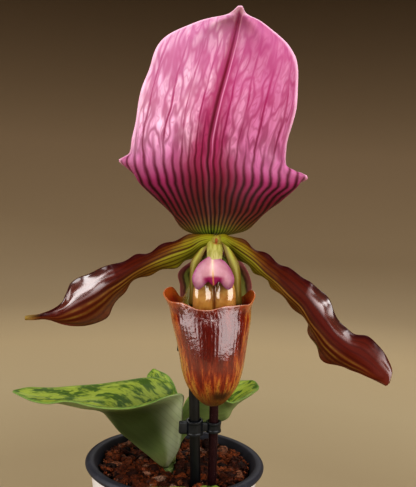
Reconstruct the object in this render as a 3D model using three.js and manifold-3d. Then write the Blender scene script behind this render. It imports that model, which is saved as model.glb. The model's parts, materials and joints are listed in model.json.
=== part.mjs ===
// A slipper orchid (Paphiopedilum) in flower, growing in a small pot inside a cover pot.
// Millimetres, +Z up. The origin is the middle of the cover pot's foot, and the flower faces -Y.
import * as THREE from "three";
import { mergeVertices } from "three/addons/utils/BufferGeometryUtils.js";
import Module from "manifold-3d";

const wasm = await Module();
wasm.setup();

// ---------------------------------------------------------------- driving dimensions

const GAP = 0.3; // clearance between pieces that rest on each other

const POT = {
  height: 70,
  rimRadius: 41, // outside of the grow pot's rolled lip
  lipWidth: 4.6,
  lipHeight: 3.4,
  wall: 1.2,
  coverRadius: 38.3,
  footRadius: 29,
  coverWall: 2.2,
  floorRadius: 25, // inside of the grow pot, at its floor
  drains: 5,
  drainRadius: 3,
  drainRing: 15,
  segments: 36,
};
const BARK = { level: 65, floor: 6.4, chips: 60, chipSize: 6.8, seed: 11 };

const FLOWER = { place: [11.3, -85.4, 173.7], nodDegrees: 2.6, leanDegrees: 3 };
const THICK = { sepal: 1, petal: 1.2, lip: 1, shield: 1.3, bract: 0.8, leaf: 1.4 };

// Old growth: the leaf fan behind. New growth: the short sheath that the flower stem leaves.
const OLD_CROWN = { x: -2.8, y: 4.6, halfWidth: 3.6, halfDepth: 8.4, foot: 52, top: 65 };
const NEW_CROWN = { x: 17.2, y: -22.4, radius: 4, foot: 54, top: 65.2 };

const SCAPE = {
  radius: 1.9,
  // the flower stem, from the new growth up and forward to the bract
  route: [
    [17.4, -22.3, 56],
    [17.1, -22.3, 66],
    [16.6, -22.8, 85],
    [16.2, -23.5, 100],
    [15.4, -25.5, 115],
    [14.4, -29, 130],
    [13.5, -34, 143],
    [12.8, -39.5, 152.5],
  ],
};
const STAKE = { radius: 2.2, foot: [12.9, -19.6, 22], top: [5.3, -28.9, 142] };
const CLIP = {
  heights: [93, 128],
  tall: 4.4, // ring round the stem
  stakeTall: 6.2, // ring round the stake
  clearance: 0.45,
  wall: 0.9,
  lobe: 3.6,
  thick: 2.5, // bridge and lobe
};

// The ovary joins the stem to the back of the flower; its route is in the part's frame.
const OVARY = {
  route: [
    [12.7, -40.1, 153.4],
    [12.2, -43.5, 160],
    [11.8, -50.5, 168],
    [11.5, -60, 173.2],
    [11.4, -71, 174.9],
    [11.3, -82.1, 173.9],
  ],
  radii: [1.9, 2.3, 2.7, 2.8, 2.3, 2.6],
  ribs: 3,
  ribDepth: 0.12,
  pegRadius: 1.3, // the peg runs forward into the flower, from pegBack to pegFront in its frame
  pegBack: 4.4,
  pegFront: 1.2,
};

// ---------------------------------------------------------------- blades of the flower
// Frame of the flower: x to its right, y to its back, z up, from the point where all its pieces
// meet. Each blade is a list of stations from base to tip, each a row of points across it.

const DORSAL_SEPAL = [
  [[-1.9, 2.1, 2.3], [-1, 2.1, 2.2], [0, 2.1, 2.2], [1, 2.1, 2.2], [1.9, 2.1, 2.3]],
  [[-9.5, 8.5, 5], [-8, 3.2, 4.5], [-0.3, -1, 4], [10, 3.2, 4.5], [12.5, 8.5, 5]],
  [[-12.5, 12, 9.5], [-12, 4, 9.5], [-0.5, -2, 9.5], [16.5, 4, 10], [15, 12, 9]],
  [[-18.5, 12, 15.5], [-18, 4.5, 15.5], [-1, -2, 14.5], [23, 4.5, 15.5], [22.5, 12, 15]],
  [[-25, 9, 22.5], [-24, 4, 21.5], [-1, -2, 21], [28, 4, 19.5], [29.5, 8, 20]],
  [[-31, 6.5, 27.5], [-24.5, 2, 25.5], [-1.5, -2, 26], [25, 2, 22.5], [31.5, 6, 21.8]],
  [[-27.3, 5.5, 29.5], [-22.5, 1, 29], [-1.2, -1.8, 29], [22, 1, 26], [24.8, 5, 24.3]],
  [[-26, 4.5, 35], [-20, 0, 33], [-1, -1.5, 33], [19.5, 0, 30.5], [24.5, 4.5, 31]],
  [[-24, 3.5, 46], [-16.5, -1, 43.5], [0, -1, 44.5], [20.5, -1, 43], [27.5, 3.5, 45]],
  [[-20.5, 2.5, 57], [-14, -2, 54], [2, -1, 55.5], [21, -2, 53.5], [28, 2.5, 56]],
  [[-15.5, 1, 66.5], [-9, -3, 63.5], [5, -1.5, 63.5], [18.5, -3, 62.5], [25, 1, 64]],
  [[-5, -2, 70.5], [-0.5, -4.5, 69], [7, -3, 69.5], [12.5, -4.5, 69], [16.5, -2, 70]],
  [[5.5, -6, 72], [7, -6.3, 71.8], [8, -6, 72], [9.5, -6.3, 71.8], [10.5, -6, 72]],
  [[8, -8.5, 73.2], [8.3, -8.5, 73.3], [8.7, -8.5, 73.3], [9, -8.5, 73.3], [9.3, -8.5, 73.2]],
];

// upper margin, midrib, lower margin
const LEFT_PETAL = [
  [[-2.3, 2.1, 1.2], [-2.4, 2, 0], [-2.3, 2.1, -1.2]],
  [[-7, 1, 2.5], [-7, -1, -1.5], [-6.5, 2, -4.5]],
  [[-14, 0, 0], [-13.5, -3, -3.5], [-11.5, 1, -7.5]],
  [[-20.5, -1, -3], [-19, -5, -6], [-17, -1, -9]],
  [[-26.5, -2, -5], [-24.5, -6, -9], [-22, -2, -10.5]],
  [[-31, -5, -7], [-28.5, -6.5, -11.5], [-26, -3, -13]],
  [[-35, -6, -8], [-32.5, -7.5, -14], [-29, -3, -16.5]],
  [[-39.5, -7, -10.5], [-36, -9.5, -16.5], [-31.5, -3, -20.5]],
  [[-44, -8, -12.5], [-40.5, -11.5, -19], [-34.5, -4, -24]],
  [[-45, -10, -16.5], [-43.5, -13, -20.5], [-39.5, -7, -26]],
  [[-46.5, -12.5, -19], [-47, -14, -22], [-45, -11, -24.5]],
  [[-50, -15, -21], [-50, -15, -22], [-50, -14.5, -23]],
  [[-55.5, -17, -21.9], [-55.5, -17, -22.2], [-55.5, -17, -22.6]],
];
const RIGHT_PETAL = [
  [[2.3, 2.1, 1.2], [2.4, 2, 0], [2.3, 2.1, -1.2]],
  [[5, 1, 2.5], [5.5, -1, -0.5], [5, 2, -2.5]],
  [[9.5, 0, 1], [9, -3, -2.5], [8, 1, -4.5]],
  [[14, -1.5, -2], [13, -5.5, -5.5], [11, -1, -7]],
  [[18.5, -4, -4.5], [16.5, -8, -9], [14.5, -3, -9.5]],
  [[22.5, -6, -7.5], [20, -10.5, -12], [18, -6, -12.5]],
  [[27, -9, -10], [23.5, -13, -15.5], [21, -9, -16]],
  [[30.5, -11, -13], [27, -15, -19], [25.5, -11, -20]],
  [[34, -13.5, -15.5], [29.5, -17.5, -23], [28.5, -13, -24]],
  [[36, -16, -20.5], [32, -20, -26], [29.5, -14, -27]],
  [[38, -19, -24], [34.5, -22, -29], [31, -14, -31]],
  [[40.5, -21, -26.5], [37.5, -24, -31.5], [33, -16, -34.5]],
  [[45, -21, -27], [40.5, -25, -33.5], [36.5, -19, -36]],
  [[47.5, -22, -30], [43.5, -26, -35.5], [40, -22.5, -36.5]],
  [[50, -23, -33], [46, -26.5, -37.5], [43, -25, -37.5]],
  [[51, -24.5, -36.5], [48.3, -26, -38.7], [46.5, -26, -39]],
  [[49.8, -26, -39.5], [49.4, -26, -39.9], [49, -26, -40.2]],
];

// left margin, midrib, right margin
const SYNSEPAL = [
  [[-1.9, 2.1, -2.2], [0, 2.1, -2.2], [1.9, 2.1, -2.2]],
  [[-7, 5, -6.5], [0, 6.5, -6.5], [8.5, 5, -5.5]],
  [[-11, 6, -10], [0, 12, -12], [11.5, 6, -9]],
  [[-10.5, 9, -14.5], [0.5, 15.5, -17], [13, 8, -13.5]],
  [[-10.5, 12, -20], [0.5, 18, -23], [13, 12, -19.5]],
  [[-10, 15, -27.5], [0.5, 20, -30], [12, 15, -27.5]],
  [[-7.5, 18, -36], [0.5, 21, -37.5], [9, 18, -36]],
  [[-3, 21, -42.5], [0.5, 22, -43], [4.5, 21, -42.5]],
  [[0, 23, -46.3], [0.5, 23, -46.5], [1, 23, -46.3]],
];

// The lip is a pouch. Its body is a stack of oval rings from the toe up:
// height, middle, half width, front, back.
const LIP_TOE = [0.3, -12.3, -49.6];
const LIP_RINGS = [
  [-48.9, 0.2, 2.4, -14.6, -10.2],
  [-47.3, 0.1, 4.4, -17, -8.6],
  [-45, 0, 6.2, -19.3, -7.2],
  [-42, 0, 8, -21.2, -6],
  [-38, 0, 9.2, -22.6, -4.8],
  [-34, 0, 9.9, -23.2, -3.8],
  [-29, -0.1, 10.8, -23, -2.8],
  [-24, -0.3, 11.9, -22.2, -2],
];
// Above the rings the wall flares to the rim. Each row: degrees round from the front (left is
// negative), the throat point and the rim point. The two ears stand at the sides, and the back
// rises as the claw, which holds the pouch below the column.
const LIP_RIM = [
  [0, [-0.5, -20.9, -21.4], [-0.5, -20.4, -19.7]],
  [20, [3.2, -20.6, -20.8], [3.2, -20.1, -18.7]],
  [40, [7.4, -18.6, -20.6], [7.7, -18.1, -18.5]],
  [60, [10.6, -14.3, -20.6], [11.4, -13.6, -18.4]],
  [80, [12.2, -9.3, -19.4], [13.4, -8.5, -16]],
  [100, [11.6, -5, -19], [12.4, -3.6, -15.2]],
  [120, [9.4, -1.7, -20.5], [9, -0.8, -17.5]],
  [150, [5.4, -0.8, -15.5], [4.4, 0.4, -8]],
  [180, [0, -0.6, -13], [0, 0.6, -3.3]],
  [-150, [-5.4, -0.8, -15.5], [-4.4, 0.4, -8]],
  [-120, [-9.8, -1.7, -20.5], [-9.8, -0.8, -17.6]],
  [-100, [-12.2, -5, -18.6], [-12.9, -3.3, -14.2]],
  [-80, [-13.4, -9.3, -19], [-15.2, -8.5, -15.3]],
  [-60, [-11.9, -14.3, -20], [-12.9, -13.6, -17.5]],
  [-40, [-8.2, -18.9, -20.2], [-8.4, -18.4, -17.9]],
  [-20, [-4.3, -20.7, -21.2], [-4.3, -20.3, -19.5]],
];
// The side lobes fold in over the mouth of the pouch: middle and half sizes of each fold.
const LIP_LOBES = [
  { middle: [-3.3, -3.9, -17], half: [3.7, 4.5, 7.6] },
  { middle: [4, -3.9, -17], half: [3.7, 4.5, 7.6] },
];

const COLUMN = {
  route: [
    [0, 0.7, 0],
    [0, -1.6, -0.8],
    [0.1, -4.6, -3.4],
    [0.2, -7.6, -7.2],
  ],
  radii: [2.2, 2.7, 2.5, 2.2],
};
// The shield on the front of the column. Each row runs from its top edge down to its lower
// margin: left edge, left lobe, notch, tooth, notch, right lobe, right edge.
const SHIELD = [
  [[-1.3, -7.2, -4.6], [-3.8, -7.8, -6.5], [-5.4, -8.6, -9], [-6, -9, -11.3], [-5.1, -9.1, -13.7]],
  [[-0.7, -7.4, -4.5], [-2.2, -9.5, -7.1], [-3.3, -10.5, -10.1], [-3.9, -10.6, -12.3], [-4.1, -10, -14.2]],
  [[-0.4, -7.5, -4.5], [-1, -10, -7.1], [-1.6, -11, -9.6], [-1.5, -11, -10.9], [-1.2, -10.7, -11.8]],
  [[0, -7.5, -4.5], [0.1, -10.1, -7.1], [0.2, -11.2, -9.8], [0.3, -11.2, -11.5], [0.4, -10.8, -13]],
  [[0.4, -7.5, -4.5], [1.3, -10, -7.1], [1.9, -11, -9.6], [2, -11, -10.8], [1.9, -10.7, -11.7]],
  [[0.8, -7.4, -4.5], [2.7, -9.5, -7.1], [4.1, -10.5, -9.8], [4.7, -10.6, -12.3], [4.6, -10, -14.2]],
  [[1.4, -7.2, -4.6], [4, -7.8, -6.2], [5.8, -8.6, -8.7], [6.6, -9, -11.3], [6, -9.1, -13.7]],
];

// ---------------------------------------------------------------- leaves
// In the part's frame. Each station: near margin, keel, far margin.

const LEAVES = {
  leaf_left: [
    [[-3, -1.6, 65.6], [-5, -0.2, 65.5], [-3.4, 1.6, 65.6]],
    [[2, -9, 78], [-11, 0, 70.5], [-7.5, 6, 72]],
    [[2.8, -15, 89], [-16.5, -1, 75], [-9, 10, 78.5]],
    [[2.8, -19, 98], [-21, -2, 79], [-7.5, 13, 87.5]],
    [[2.4, -22, 105.4], [-25, -3, 82.5], [-3.5, 15, 94.5]],
    [[-3.5, -24, 104.8], [-28, -4, 86], [-4, 16, 99]],
    [[-11, -25.5, 102], [-31, -4.5, 89.5], [-8.5, 16, 102]],
    [[-19, -26, 100], [-33.5, -5, 92], [-16.5, 15, 102.5]],
    [[-27.5, -26, 99.5], [-37.5, -5.5, 93.5], [-26, 13, 101]],
    [[-36, -25, 99.5], [-44, -6, 94], [-36, 10, 99.5]],
    [[-46, -22.5, 100], [-52, -7, 95.5], [-46.5, 5, 99.5]],
    [[-56, -19, 98], [-60, -8.5, 97], [-57, 0, 99.5]],
    [[-66, -15.5, 98.5], [-67, -10.5, 98.5], [-66.5, -5, 100.5]],
    [[-72.5, -13.2, 100.5], [-72.7, -12.6, 100.5], [-72.5, -12, 100.7]],
  ],
  leaf_right: [
    [[-2.6, 3.9, 65.6], [-0.8, 5.2, 65.5], [-2.6, 7, 65.6]],
    [[0, 2, 77], [0, 5.5, 73], [0, 10, 76.5]],
    [[1.5, -3, 89.5], [3.5, 4, 79.5], [1.5, 17, 86]],
    [[4, -8, 98.5], [8.5, 4, 82.5], [4.5, 23, 91.5]],
    [[8.5, -12, 103], [14, 4.5, 84.5], [10, 28, 95]],
    [[14.5, -14, 104], [19, 5.5, 86.5], [16.5, 31, 97]],
    [[19.5, -14, 103], [23, 7, 88], [22.5, 32, 98.5]],
    [[24, -12, 100.5], [25, 9, 91.5], [28, 31, 99]],
    [[28.5, -7, 100.5], [28.5, 11, 95], [33, 28, 100]],
    [[33.5, 0, 101], [32.5, 12, 98], [36.5, 22, 101.5]],
    [[37.5, 9, 101.5], [37.9, 12, 101], [38, 14, 101.5]],
  ],
  leaf_back: [
    [[-4.6, 9.4, 65.6], [-2.8, 11.4, 65.5], [-1.2, 9.4, 65.6]],
    [[-8.5, 14, 73], [-3.5, 16.5, 72], [1, 14.5, 73]],
    [[-12, 19, 83], [-5.3, 22, 82.5], [1, 19.5, 83.5]],
    [[-15, 24, 92.5], [-8, 27, 92], [-1.5, 24.5, 93]],
    [[-17, 28.5, 99.5], [-11.8, 30.5, 99], [-6.5, 29, 100]],
    [[-14.8, 33, 102.3], [-14.3, 33, 102.3], [-13.7, 33, 102.3]],
  ],
  leaf_front_left: [
    [[14.4, -27.2, 65.5], [13.3, -26.3, 65.3], [12.6, -25.2, 65.5]],
    [[11, -33, 69.2], [8.4, -31.2, 68.4], [6.4, -29, 68.4]],
    [[6.4, -38.8, 71.7], [2.8, -36.2, 71.3], [0.4, -33.4, 70.2]],
    [[0.8, -48.4, 72.4], [-4, -43.2, 71.8], [-8.2, -38.6, 71.5]],
    [[-5, -59, 71.6], [-13, -51, 70.8], [-20.5, -43.5, 71.4]],
    [[-14, -67.5, 66.4], [-21.5, -59.6, 65.4], [-28, -52.2, 66.2]],
    [[-24, -72.2, 58], [-28.6, -66.4, 57], [-33, -61, 58]],
    [[-32.4, -71.4, 51.8], [-32.8, -71, 51.8], [-33.2, -70.6, 51.8]],
  ],
  leaf_front_right: [
    [[19.4, -26.8, 65.4], [18, -27.1, 65.2], [16.7, -27, 65.4]],
    [[19, -29.9, 69.8], [17.2, -29.7, 68.8], [15.2, -29.7, 68.8]],
    [[19, -33.8, 71.9], [16, -33.4, 71.5], [13, -33.2, 71.2]],
    [[23, -40.2, 72.4], [16.6, -41.2, 72], [10.6, -42.4, 72.4]],
    [[31, -47.4, 72.4], [22, -51.6, 71.4], [13.4, -56, 72.2]],
    [[39, -54, 67.4], [30, -60.6, 66.4], [21.6, -67.4, 67.2]],
    [[43.8, -62, 59], [38, -67.4, 58], [32.6, -73.2, 58.8]],
    [[44.8, -70.4, 51.6], [44.4, -70.8, 51.6], [44, -71.2, 51.6]],
  ],
};

// ---------------------------------------------------------------- making solids

const vec = ([x, y, z]) => new THREE.Vector3(x, y, z);
const smooth = (points, closed = false) => new THREE.CatmullRomCurve3(points, closed, "centripetal");

// A closed surface as a geometry: shared corners merged, slivers dropped, faces out.
function closedGeometry(positions, faces) {
  const loose = new THREE.BufferGeometry();
  loose.setAttribute("position", new THREE.Float32BufferAttribute(positions, 3));
  loose.setIndex(faces);
  const merged = mergeVertices(loose, 1e-3);
  const at = merged.getAttribute("position");
  const kept = [];
  for (let i = 0; i < merged.index.count; i += 3) {
    const [a, b, c] = [0, 1, 2].map((k) => merged.index.getX(i + k));
    if (a !== b && b !== c && c !== a) kept.push(a, b, c);
  }
  const corner = (i) => new THREE.Vector3().fromBufferAttribute(at, i);
  let volume = 0;
  for (let i = 0; i < kept.length; i += 3) {
    volume += corner(kept[i]).dot(corner(kept[i + 1]).cross(corner(kept[i + 2])));
  }
  if (volume < 0) kept.reverse();
  merged.setIndex(kept);
  return merged;
}

const fromThree = (geometry) => {
  const flat = geometry.index ? geometry : mergeVertices(geometry);
  return closedGeometry([...flat.getAttribute("position").array], [...flat.index.array]);
};

function manifoldOf(geometry) {
  return new wasm.Manifold(
    new wasm.Mesh({
      numProp: 3,
      vertProperties: new Float32Array(geometry.getAttribute("position").array),
      triVerts: new Uint32Array(geometry.index.array),
    }),
  );
}

function geometryOf(solid) {
  const mesh = solid.getMesh();
  const geometry = new THREE.BufferGeometry();
  geometry.setAttribute("position", new THREE.BufferAttribute(mesh.vertProperties, 3));
  geometry.setIndex(new THREE.BufferAttribute(mesh.triVerts, 1));
  return geometry;
}

// Joins and cuts in one go: the first list is added up, the second taken away. The largest body
// is kept, so scraps and sealed pockets that a cut or a join leaves behind go.
function combined(added, removed = []) {
  const join = (list) => list.map(manifoldOf).reduce((a, b) => a.add(b));
  const body = removed.length ? join(added).subtract(join(removed)) : join(added);
  return geometryOf(body.decompose().reduce((a, b) => (b.volume() > a.volume() ? b : a)));
}

// A thin blade from a grid of points: both faces are split alike, and the margins are closed.
function bladeGeometry(grid, thickness, aroundClosed = false) {
  const rows = grid.length;
  const columns = grid[0].length;
  const across = (j) => (aroundClosed ? (j + columns) % columns : Math.min(Math.max(j, 0), columns - 1));
  const along = (i) => Math.min(Math.max(i, 0), rows - 1);
  const positions = [];
  for (const side of [0.5, -0.5]) {
    for (let i = 0; i < rows; i++) {
      for (let j = 0; j < columns; j++) {
        const lengthwise = grid[along(i + 1)][j].clone().sub(grid[along(i - 1)][j]);
        const crosswise = grid[i][across(j + 1)].clone().sub(grid[i][across(j - 1)]);
        const normal = crosswise.cross(lengthwise).normalize();
        positions.push(...grid[i][j].clone().addScaledVector(normal, side * thickness).toArray());
      }
    }
  }
  const front = (i, j) => i * columns + across(j);
  const back = (i, j) => rows * columns + front(i, j);
  const faces = [];
  const quad = (a, b, c, d) => faces.push(a, b, c, a, c, d);
  const spans = aroundClosed ? columns : columns - 1;
  for (let i = 0; i < rows - 1; i++) {
    for (let j = 0; j < spans; j++) {
      faces.push(front(i, j), front(i, j + 1), front(i + 1, j + 1));
      faces.push(front(i, j), front(i + 1, j + 1), front(i + 1, j));
      faces.push(back(i, j), back(i + 1, j + 1), back(i, j + 1));
      faces.push(back(i, j), back(i + 1, j), back(i + 1, j + 1));
    }
  }
  for (let j = 0; j < spans; j++) {
    quad(front(0, j), back(0, j), back(0, j + 1), front(0, j + 1));
    quad(front(rows - 1, j), front(rows - 1, j + 1), back(rows - 1, j + 1), back(rows - 1, j));
  }
  if (!aroundClosed) {
    for (let i = 0; i < rows - 1; i++) {
      quad(front(i, 0), front(i + 1, 0), back(i + 1, 0), back(i, 0));
      const [last, next] = [columns - 1, i + 1];
      quad(front(i, last), back(i, last), back(next, last), front(next, last));
    }
  }
  return closedGeometry(positions, faces);
}

// Points along one row, spaced by distance on each side of its middle.
function spacedRow(points, count) {
  const curve = smooth(points);
  const spans = points.length - 1;
  const half = spans / 2;
  const walk = (from, to, share) => {
    const steps = [];
    for (let k = from; k < to; k++) steps.push(points[k].distanceTo(points[k + 1]));
    let left = share * steps.reduce((a, b) => a + b, 0);
    let k = 0;
    while (k < steps.length - 1 && left > steps[k]) left -= steps[k++];
    return (from + k + Math.min(left / steps[k], 1)) / spans;
  };
  const row = [];
  for (let j = 0; j <= count; j++) {
    const s = (2 * j) / count;
    const t = spans % 2 ? j / count : s <= 1 ? walk(0, half, s) : walk(half, spans, s - 1);
    row.push(curve.getPoint(t));
  }
  return row;
}

// The smooth surface through a list of stations.
function surfaceGrid(stations, lengthwise, crosswise) {
  const rails = stations[0].map((_, k) => smooth(stations.map((row) => vec(row[k]))));
  const grid = [];
  for (let i = 0; i <= lengthwise; i++) {
    grid.push(spacedRow(rails.map((rail) => rail.getPoint(i / lengthwise)), crosswise));
  }
  return grid;
}

const transposed = (table) => table[0].map((_, k) => table.map((row) => row[k]));

// A round or ribbed stem along a curve, with flat ends.
function stemGeometry(route, radiusAt, sides, steps) {
  const curve = smooth(route.map(vec));
  const positions = [];
  for (let i = 0; i <= steps; i++) {
    const centre = curve.getPoint(i / steps);
    const ahead = curve.getTangent(i / steps);
    const sideways = new THREE.Vector3(1, 0, 0).addScaledVector(ahead, -ahead.x).normalize();
    const upward = ahead.clone().cross(sideways);
    for (let j = 0; j < sides; j++) {
      const turn = (2 * Math.PI * j) / sides;
      const radius = radiusAt(i / steps, turn);
      const point = centre.clone().addScaledVector(sideways, radius * Math.cos(turn));
      positions.push(...point.addScaledVector(upward, radius * Math.sin(turn)).toArray());
    }
  }
  const faces = [];
  for (let i = 0; i < steps; i++) {
    for (let j = 0; j < sides; j++) {
      const [a, b] = [i * sides + j, i * sides + ((j + 1) % sides)];
      faces.push(a, b, b + sides, a, b + sides, a + sides);
    }
  }
  for (const [row, flip] of [[0, true], [steps, false]]) {
    for (let j = 1; j < sides - 1; j++) {
      const fan = [row * sides, row * sides + j, row * sides + j + 1];
      faces.push(...(flip ? fan.reverse() : fan));
    }
  }
  return closedGeometry(positions, faces);
}

// A value that runs evenly through a list, read at a share of its length.
function along(list, share) {
  const at = share * (list.length - 1);
  const k = Math.min(Math.floor(at), list.length - 2);
  return THREE.MathUtils.lerp(list[k], list[k + 1], at - k);
}

// A turned piece from its profile of [radius, height] points.
function turnedGeometry(profile, segments = POT.segments) {
  const points = profile.map(([radius, height]) => new THREE.Vector2(radius, height));
  const lathe = new THREE.LatheGeometry(points, segments).rotateX(Math.PI / 2);
  lathe.deleteAttribute("normal");
  lathe.deleteAttribute("uv");
  return fromThree(lathe);
}

function boxGeometry(size, place, turn = 0) {
  const box = new THREE.BoxGeometry(...size).rotateZ(turn).translate(...place);
  box.deleteAttribute("normal");
  box.deleteAttribute("uv");
  return fromThree(box);
}

// The same draws each time for one seed.
function drawsFrom(seed) {
  let state = seed;
  return () => {
    state = (state * 1664525 + 1013904223) % 4294967296;
    return state / 4294967296;
  };
}

// ---------------------------------------------------------------- pots and bark

// White cover pot: a tapered cup with a rounded foot edge.
function coverPot() {
  const { coverRadius: top, footRadius: foot, coverWall: wall, height, lipHeight } = POT;
  const rim = height - lipHeight - GAP;
  return turnedGeometry([
    [0, 0], [foot - 1.5, 0], [foot - 0.4, 0.4], [foot, 1.5],
    [top, rim - 0.8], [top - 0.7, rim], [top - wall + 0.5, rim], [top - wall, rim - 0.6],
    [foot - wall, 4], [foot - wall - 1.2, 3], [0, 3],
  ]);
}

// Radius of the grow pot's inside at a height.
function growPotInside(z) {
  const share = (z - BARK.floor) / (POT.height - POT.lipHeight - BARK.floor);
  return THREE.MathUtils.lerp(POT.floorRadius, POT.rimRadius - POT.lipWidth - 1.7, share);
}

// Dark grow pot that hangs in the cover pot by its rolled lip, with drain holes in its floor.
function growPot() {
  const { height, rimRadius: outer, lipWidth, lipHeight, wall, drains, drainRadius, drainRing } = POT;
  const inner = outer - lipWidth;
  const under = height - lipHeight;
  const floor = BARK.floor - GAP - wall;
  const cup = turnedGeometry([
    [0, floor], [growPotInside(floor) + wall - 0.8, floor], [growPotInside(floor) + wall, floor + 0.8],
    [growPotInside(under) + wall, under - 0.8], [growPotInside(under) + wall + 0.5, under],
    [outer - 1.1, under], [outer - 0.2, under + 0.9], [outer, height - 1.5], [outer - 0.9, height - 0.3],
    [outer - 2.2, height], [inner + 0.8, height - 0.3], [inner, height - 1.2],
    [growPotInside(under - 1), under - 1], [growPotInside(floor + wall), floor + wall], [0, floor + wall],
  ]);
  const holes = [];
  for (let k = 0; k < drains; k++) {
    const turn = (2 * Math.PI * k) / drains;
    const [low, high] = [floor - 1, floor + wall + 1];
    const hole = turnedGeometry([[0, low], [drainRadius, low], [drainRadius, high], [0, high]], 12);
    holes.push(hole.translate(drainRing * Math.cos(turn), drainRing * Math.sin(turn), 0));
  }
  return combined([cup], holes);
}

// One bark chip: a box with its corners knocked about.
function chipGeometry(draw, place) {
  const size = BARK.chipSize * (0.6 + 0.8 * draw());
  const box = new THREE.BoxGeometry(size, size * (0.5 + 0.3 * draw()), size * (0.28 + 0.22 * draw()));
  box.deleteAttribute("normal");
  box.deleteAttribute("uv");
  const chip = fromThree(box);
  const at = chip.getAttribute("position");
  for (let i = 0; i < at.count; i++) {
    const knock = () => (draw() - 0.5) * 0.28 * size;
    at.setXYZ(i, at.getX(i) + knock(), at.getY(i) + knock(), at.getZ(i) + knock() * 0.4);
  }
  const lean = new THREE.Euler(draw() - 0.5, draw() - 0.5, 2 * Math.PI * draw());
  return chip.applyMatrix4(new THREE.Matrix4().makeRotationFromEuler(lean)).translate(...place);
}

// The bark that fills the grow pot, with chips on top and a plain hole for each thing in it.
function barkMix() {
  const level = BARK.level - 1.6;
  const body = turnedGeometry([
    [0, BARK.floor], [growPotInside(BARK.floor) - GAP, BARK.floor],
    [growPotInside(level) - GAP, level], [0, level],
  ]);
  const draw = drawsFrom(BARK.seed);
  const chips = [];
  const reach = growPotInside(level) - BARK.chipSize * 0.72;
  for (let k = 0; k < BARK.chips; k++) {
    const radius = reach * Math.sqrt((k + 0.5) / BARK.chips);
    const turn = k * Math.PI * (3 - Math.sqrt(5));
    const [x, y] = [radius * Math.cos(turn), radius * Math.sin(turn)];
    const near = Math.min(
      Math.hypot(x - OLD_CROWN.x, y - OLD_CROWN.y),
      Math.hypot(x - NEW_CROWN.x, y - NEW_CROWN.y),
    );
    const lift = near < 13 ? -1.8 : 1 + 1.2 * draw();
    chips.push(chipGeometry(draw, [x, y, level + 0.2 + lift]));
  }
  const [low, high, trim] = [level - 5, level + 8, GAP + 0.1];
  const edge = turnedGeometry([
    [growPotInside(low) - trim, low], [50, low], [50, high], [growPotInside(high) - trim, high],
    [growPotInside(low) - trim, low],
  ]);
  const holes = [edge, crownGeometry(OLD_CROWN, GAP, 20), newCrownShape(GAP, 20, 0)];
  holes.push(stemGeometry([lowered(STAKE.foot), STAKE.top], () => STAKE.radius + GAP, 12, 1));
  return combined([body, ...chips], holes);
}

// A point on the stake's line, a gap further down.
const lowered = ([x, y, z]) => {
  const drop = GAP / (STAKE.top[2] - STAKE.foot[2]);
  return [x - drop * (STAKE.top[0] - x), y - drop * (STAKE.top[1] - y), z - GAP];
};

// ---------------------------------------------------------------- stems

// The old growth's stub: an oval peg, grown by a margin where it is used to cut its hole.
function crownGeometry({ x, y, halfWidth, halfDepth, foot, top }, margin = 0, above = 0) {
  const [low, high] = [foot - margin, top + above];
  const profile = [[0, low], [0.8, low], [1, low + 3], [1, high - 1], [0.85, high], [0, high]];
  const peg = turnedGeometry(profile, 20);
  return peg.scale(halfWidth + margin, halfDepth + margin, 1).translate(x, y, 0);
}

// The new growth's sheath: a round peg with a bore, in which the flower stem stands.
function newCrownShape(margin, above, bore) {
  const { x, y, radius, foot, top } = NEW_CROWN;
  const [low, high, outer] = [foot - margin, top + above, radius + margin];
  const profile = bore
    ? [
        [bore, foot], [outer - 1, foot], [outer, foot + 2],
        [outer, high - 1], [outer - 0.9, high], [bore, high], [bore, foot],
      ]
    : [[0, low], [outer, low], [outer, high], [0, high]];
  return turnedGeometry(profile, 20).translate(x, y, 0);
}

// Where a straight or curved route crosses a height, and which way it runs there.
function crossing(route, height) {
  const curve = smooth(route.map(vec));
  let [low, high] = [0, 1];
  for (let k = 0; k < 30; k++) {
    const middle = (low + high) / 2;
    if (curve.getPoint(middle).z < height) low = middle;
    else high = middle;
  }
  return { at: curve.getPoint(low), ahead: curve.getTangent(low) };
}

// A plastic clip: a ring round the stake with a finger lobe, and a smaller ring round the stem.
function clipGeometry(height) {
  const stake = crossing([STAKE.foot, STAKE.top], height);
  const stem = crossing(SCAPE.route, height);
  const { tall, stakeTall, clearance, wall, lobe, thick } = CLIP;
  const ring = ({ at, ahead }, inner, size) => {
    const half = size / 2;
    const outer = inner + wall;
    const profile = [[inner, -half], [outer, -half], [outer, half], [inner, half], [inner, -half]];
    const lean = new THREE.Quaternion().setFromUnitVectors(new THREE.Vector3(0, 0, 1), ahead);
    return turnedGeometry(profile, 20).applyQuaternion(lean).translate(at.x, at.y, at.z);
  };
  const [stakeInner, stemInner] = [STAKE.radius + clearance, SCAPE.radius + clearance];
  const [dx, dy] = [stem.at.x - stake.at.x, stem.at.y - stake.at.y];
  const turn = Math.atan2(dy, dx);
  const [from, to] = [stakeInner + wall / 2, Math.hypot(dx, dy) - stemInner - wall / 2];
  const onLine = (s) => [stake.at.x + s * Math.cos(turn), stake.at.y + s * Math.sin(turn), height];
  const bridge = boxGeometry([to - from, thick, tall * 0.8], onLine((from + to) / 2), turn);
  const lobeMiddle = -(stakeInner + wall / 2 + lobe / 2);
  const lobeBox = boxGeometry([lobe, thick, stakeTall * 0.85], onLine(lobeMiddle), turn);
  return combined([ring(stake, stakeInner, stakeTall), ring(stem, stemInner, tall), bridge, lobeBox]);
}

// ---------------------------------------------------------------- flower pieces

const [nod, lean] = [FLOWER.nodDegrees, FLOWER.leanDegrees].map(THREE.MathUtils.degToRad);
const toPart = new THREE.Matrix4().compose(
  vec(FLOWER.place),
  new THREE.Quaternion().setFromEuler(new THREE.Euler(-nod, -lean, 0)),
  new THREE.Vector3(1, 1, 1),
);

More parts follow.
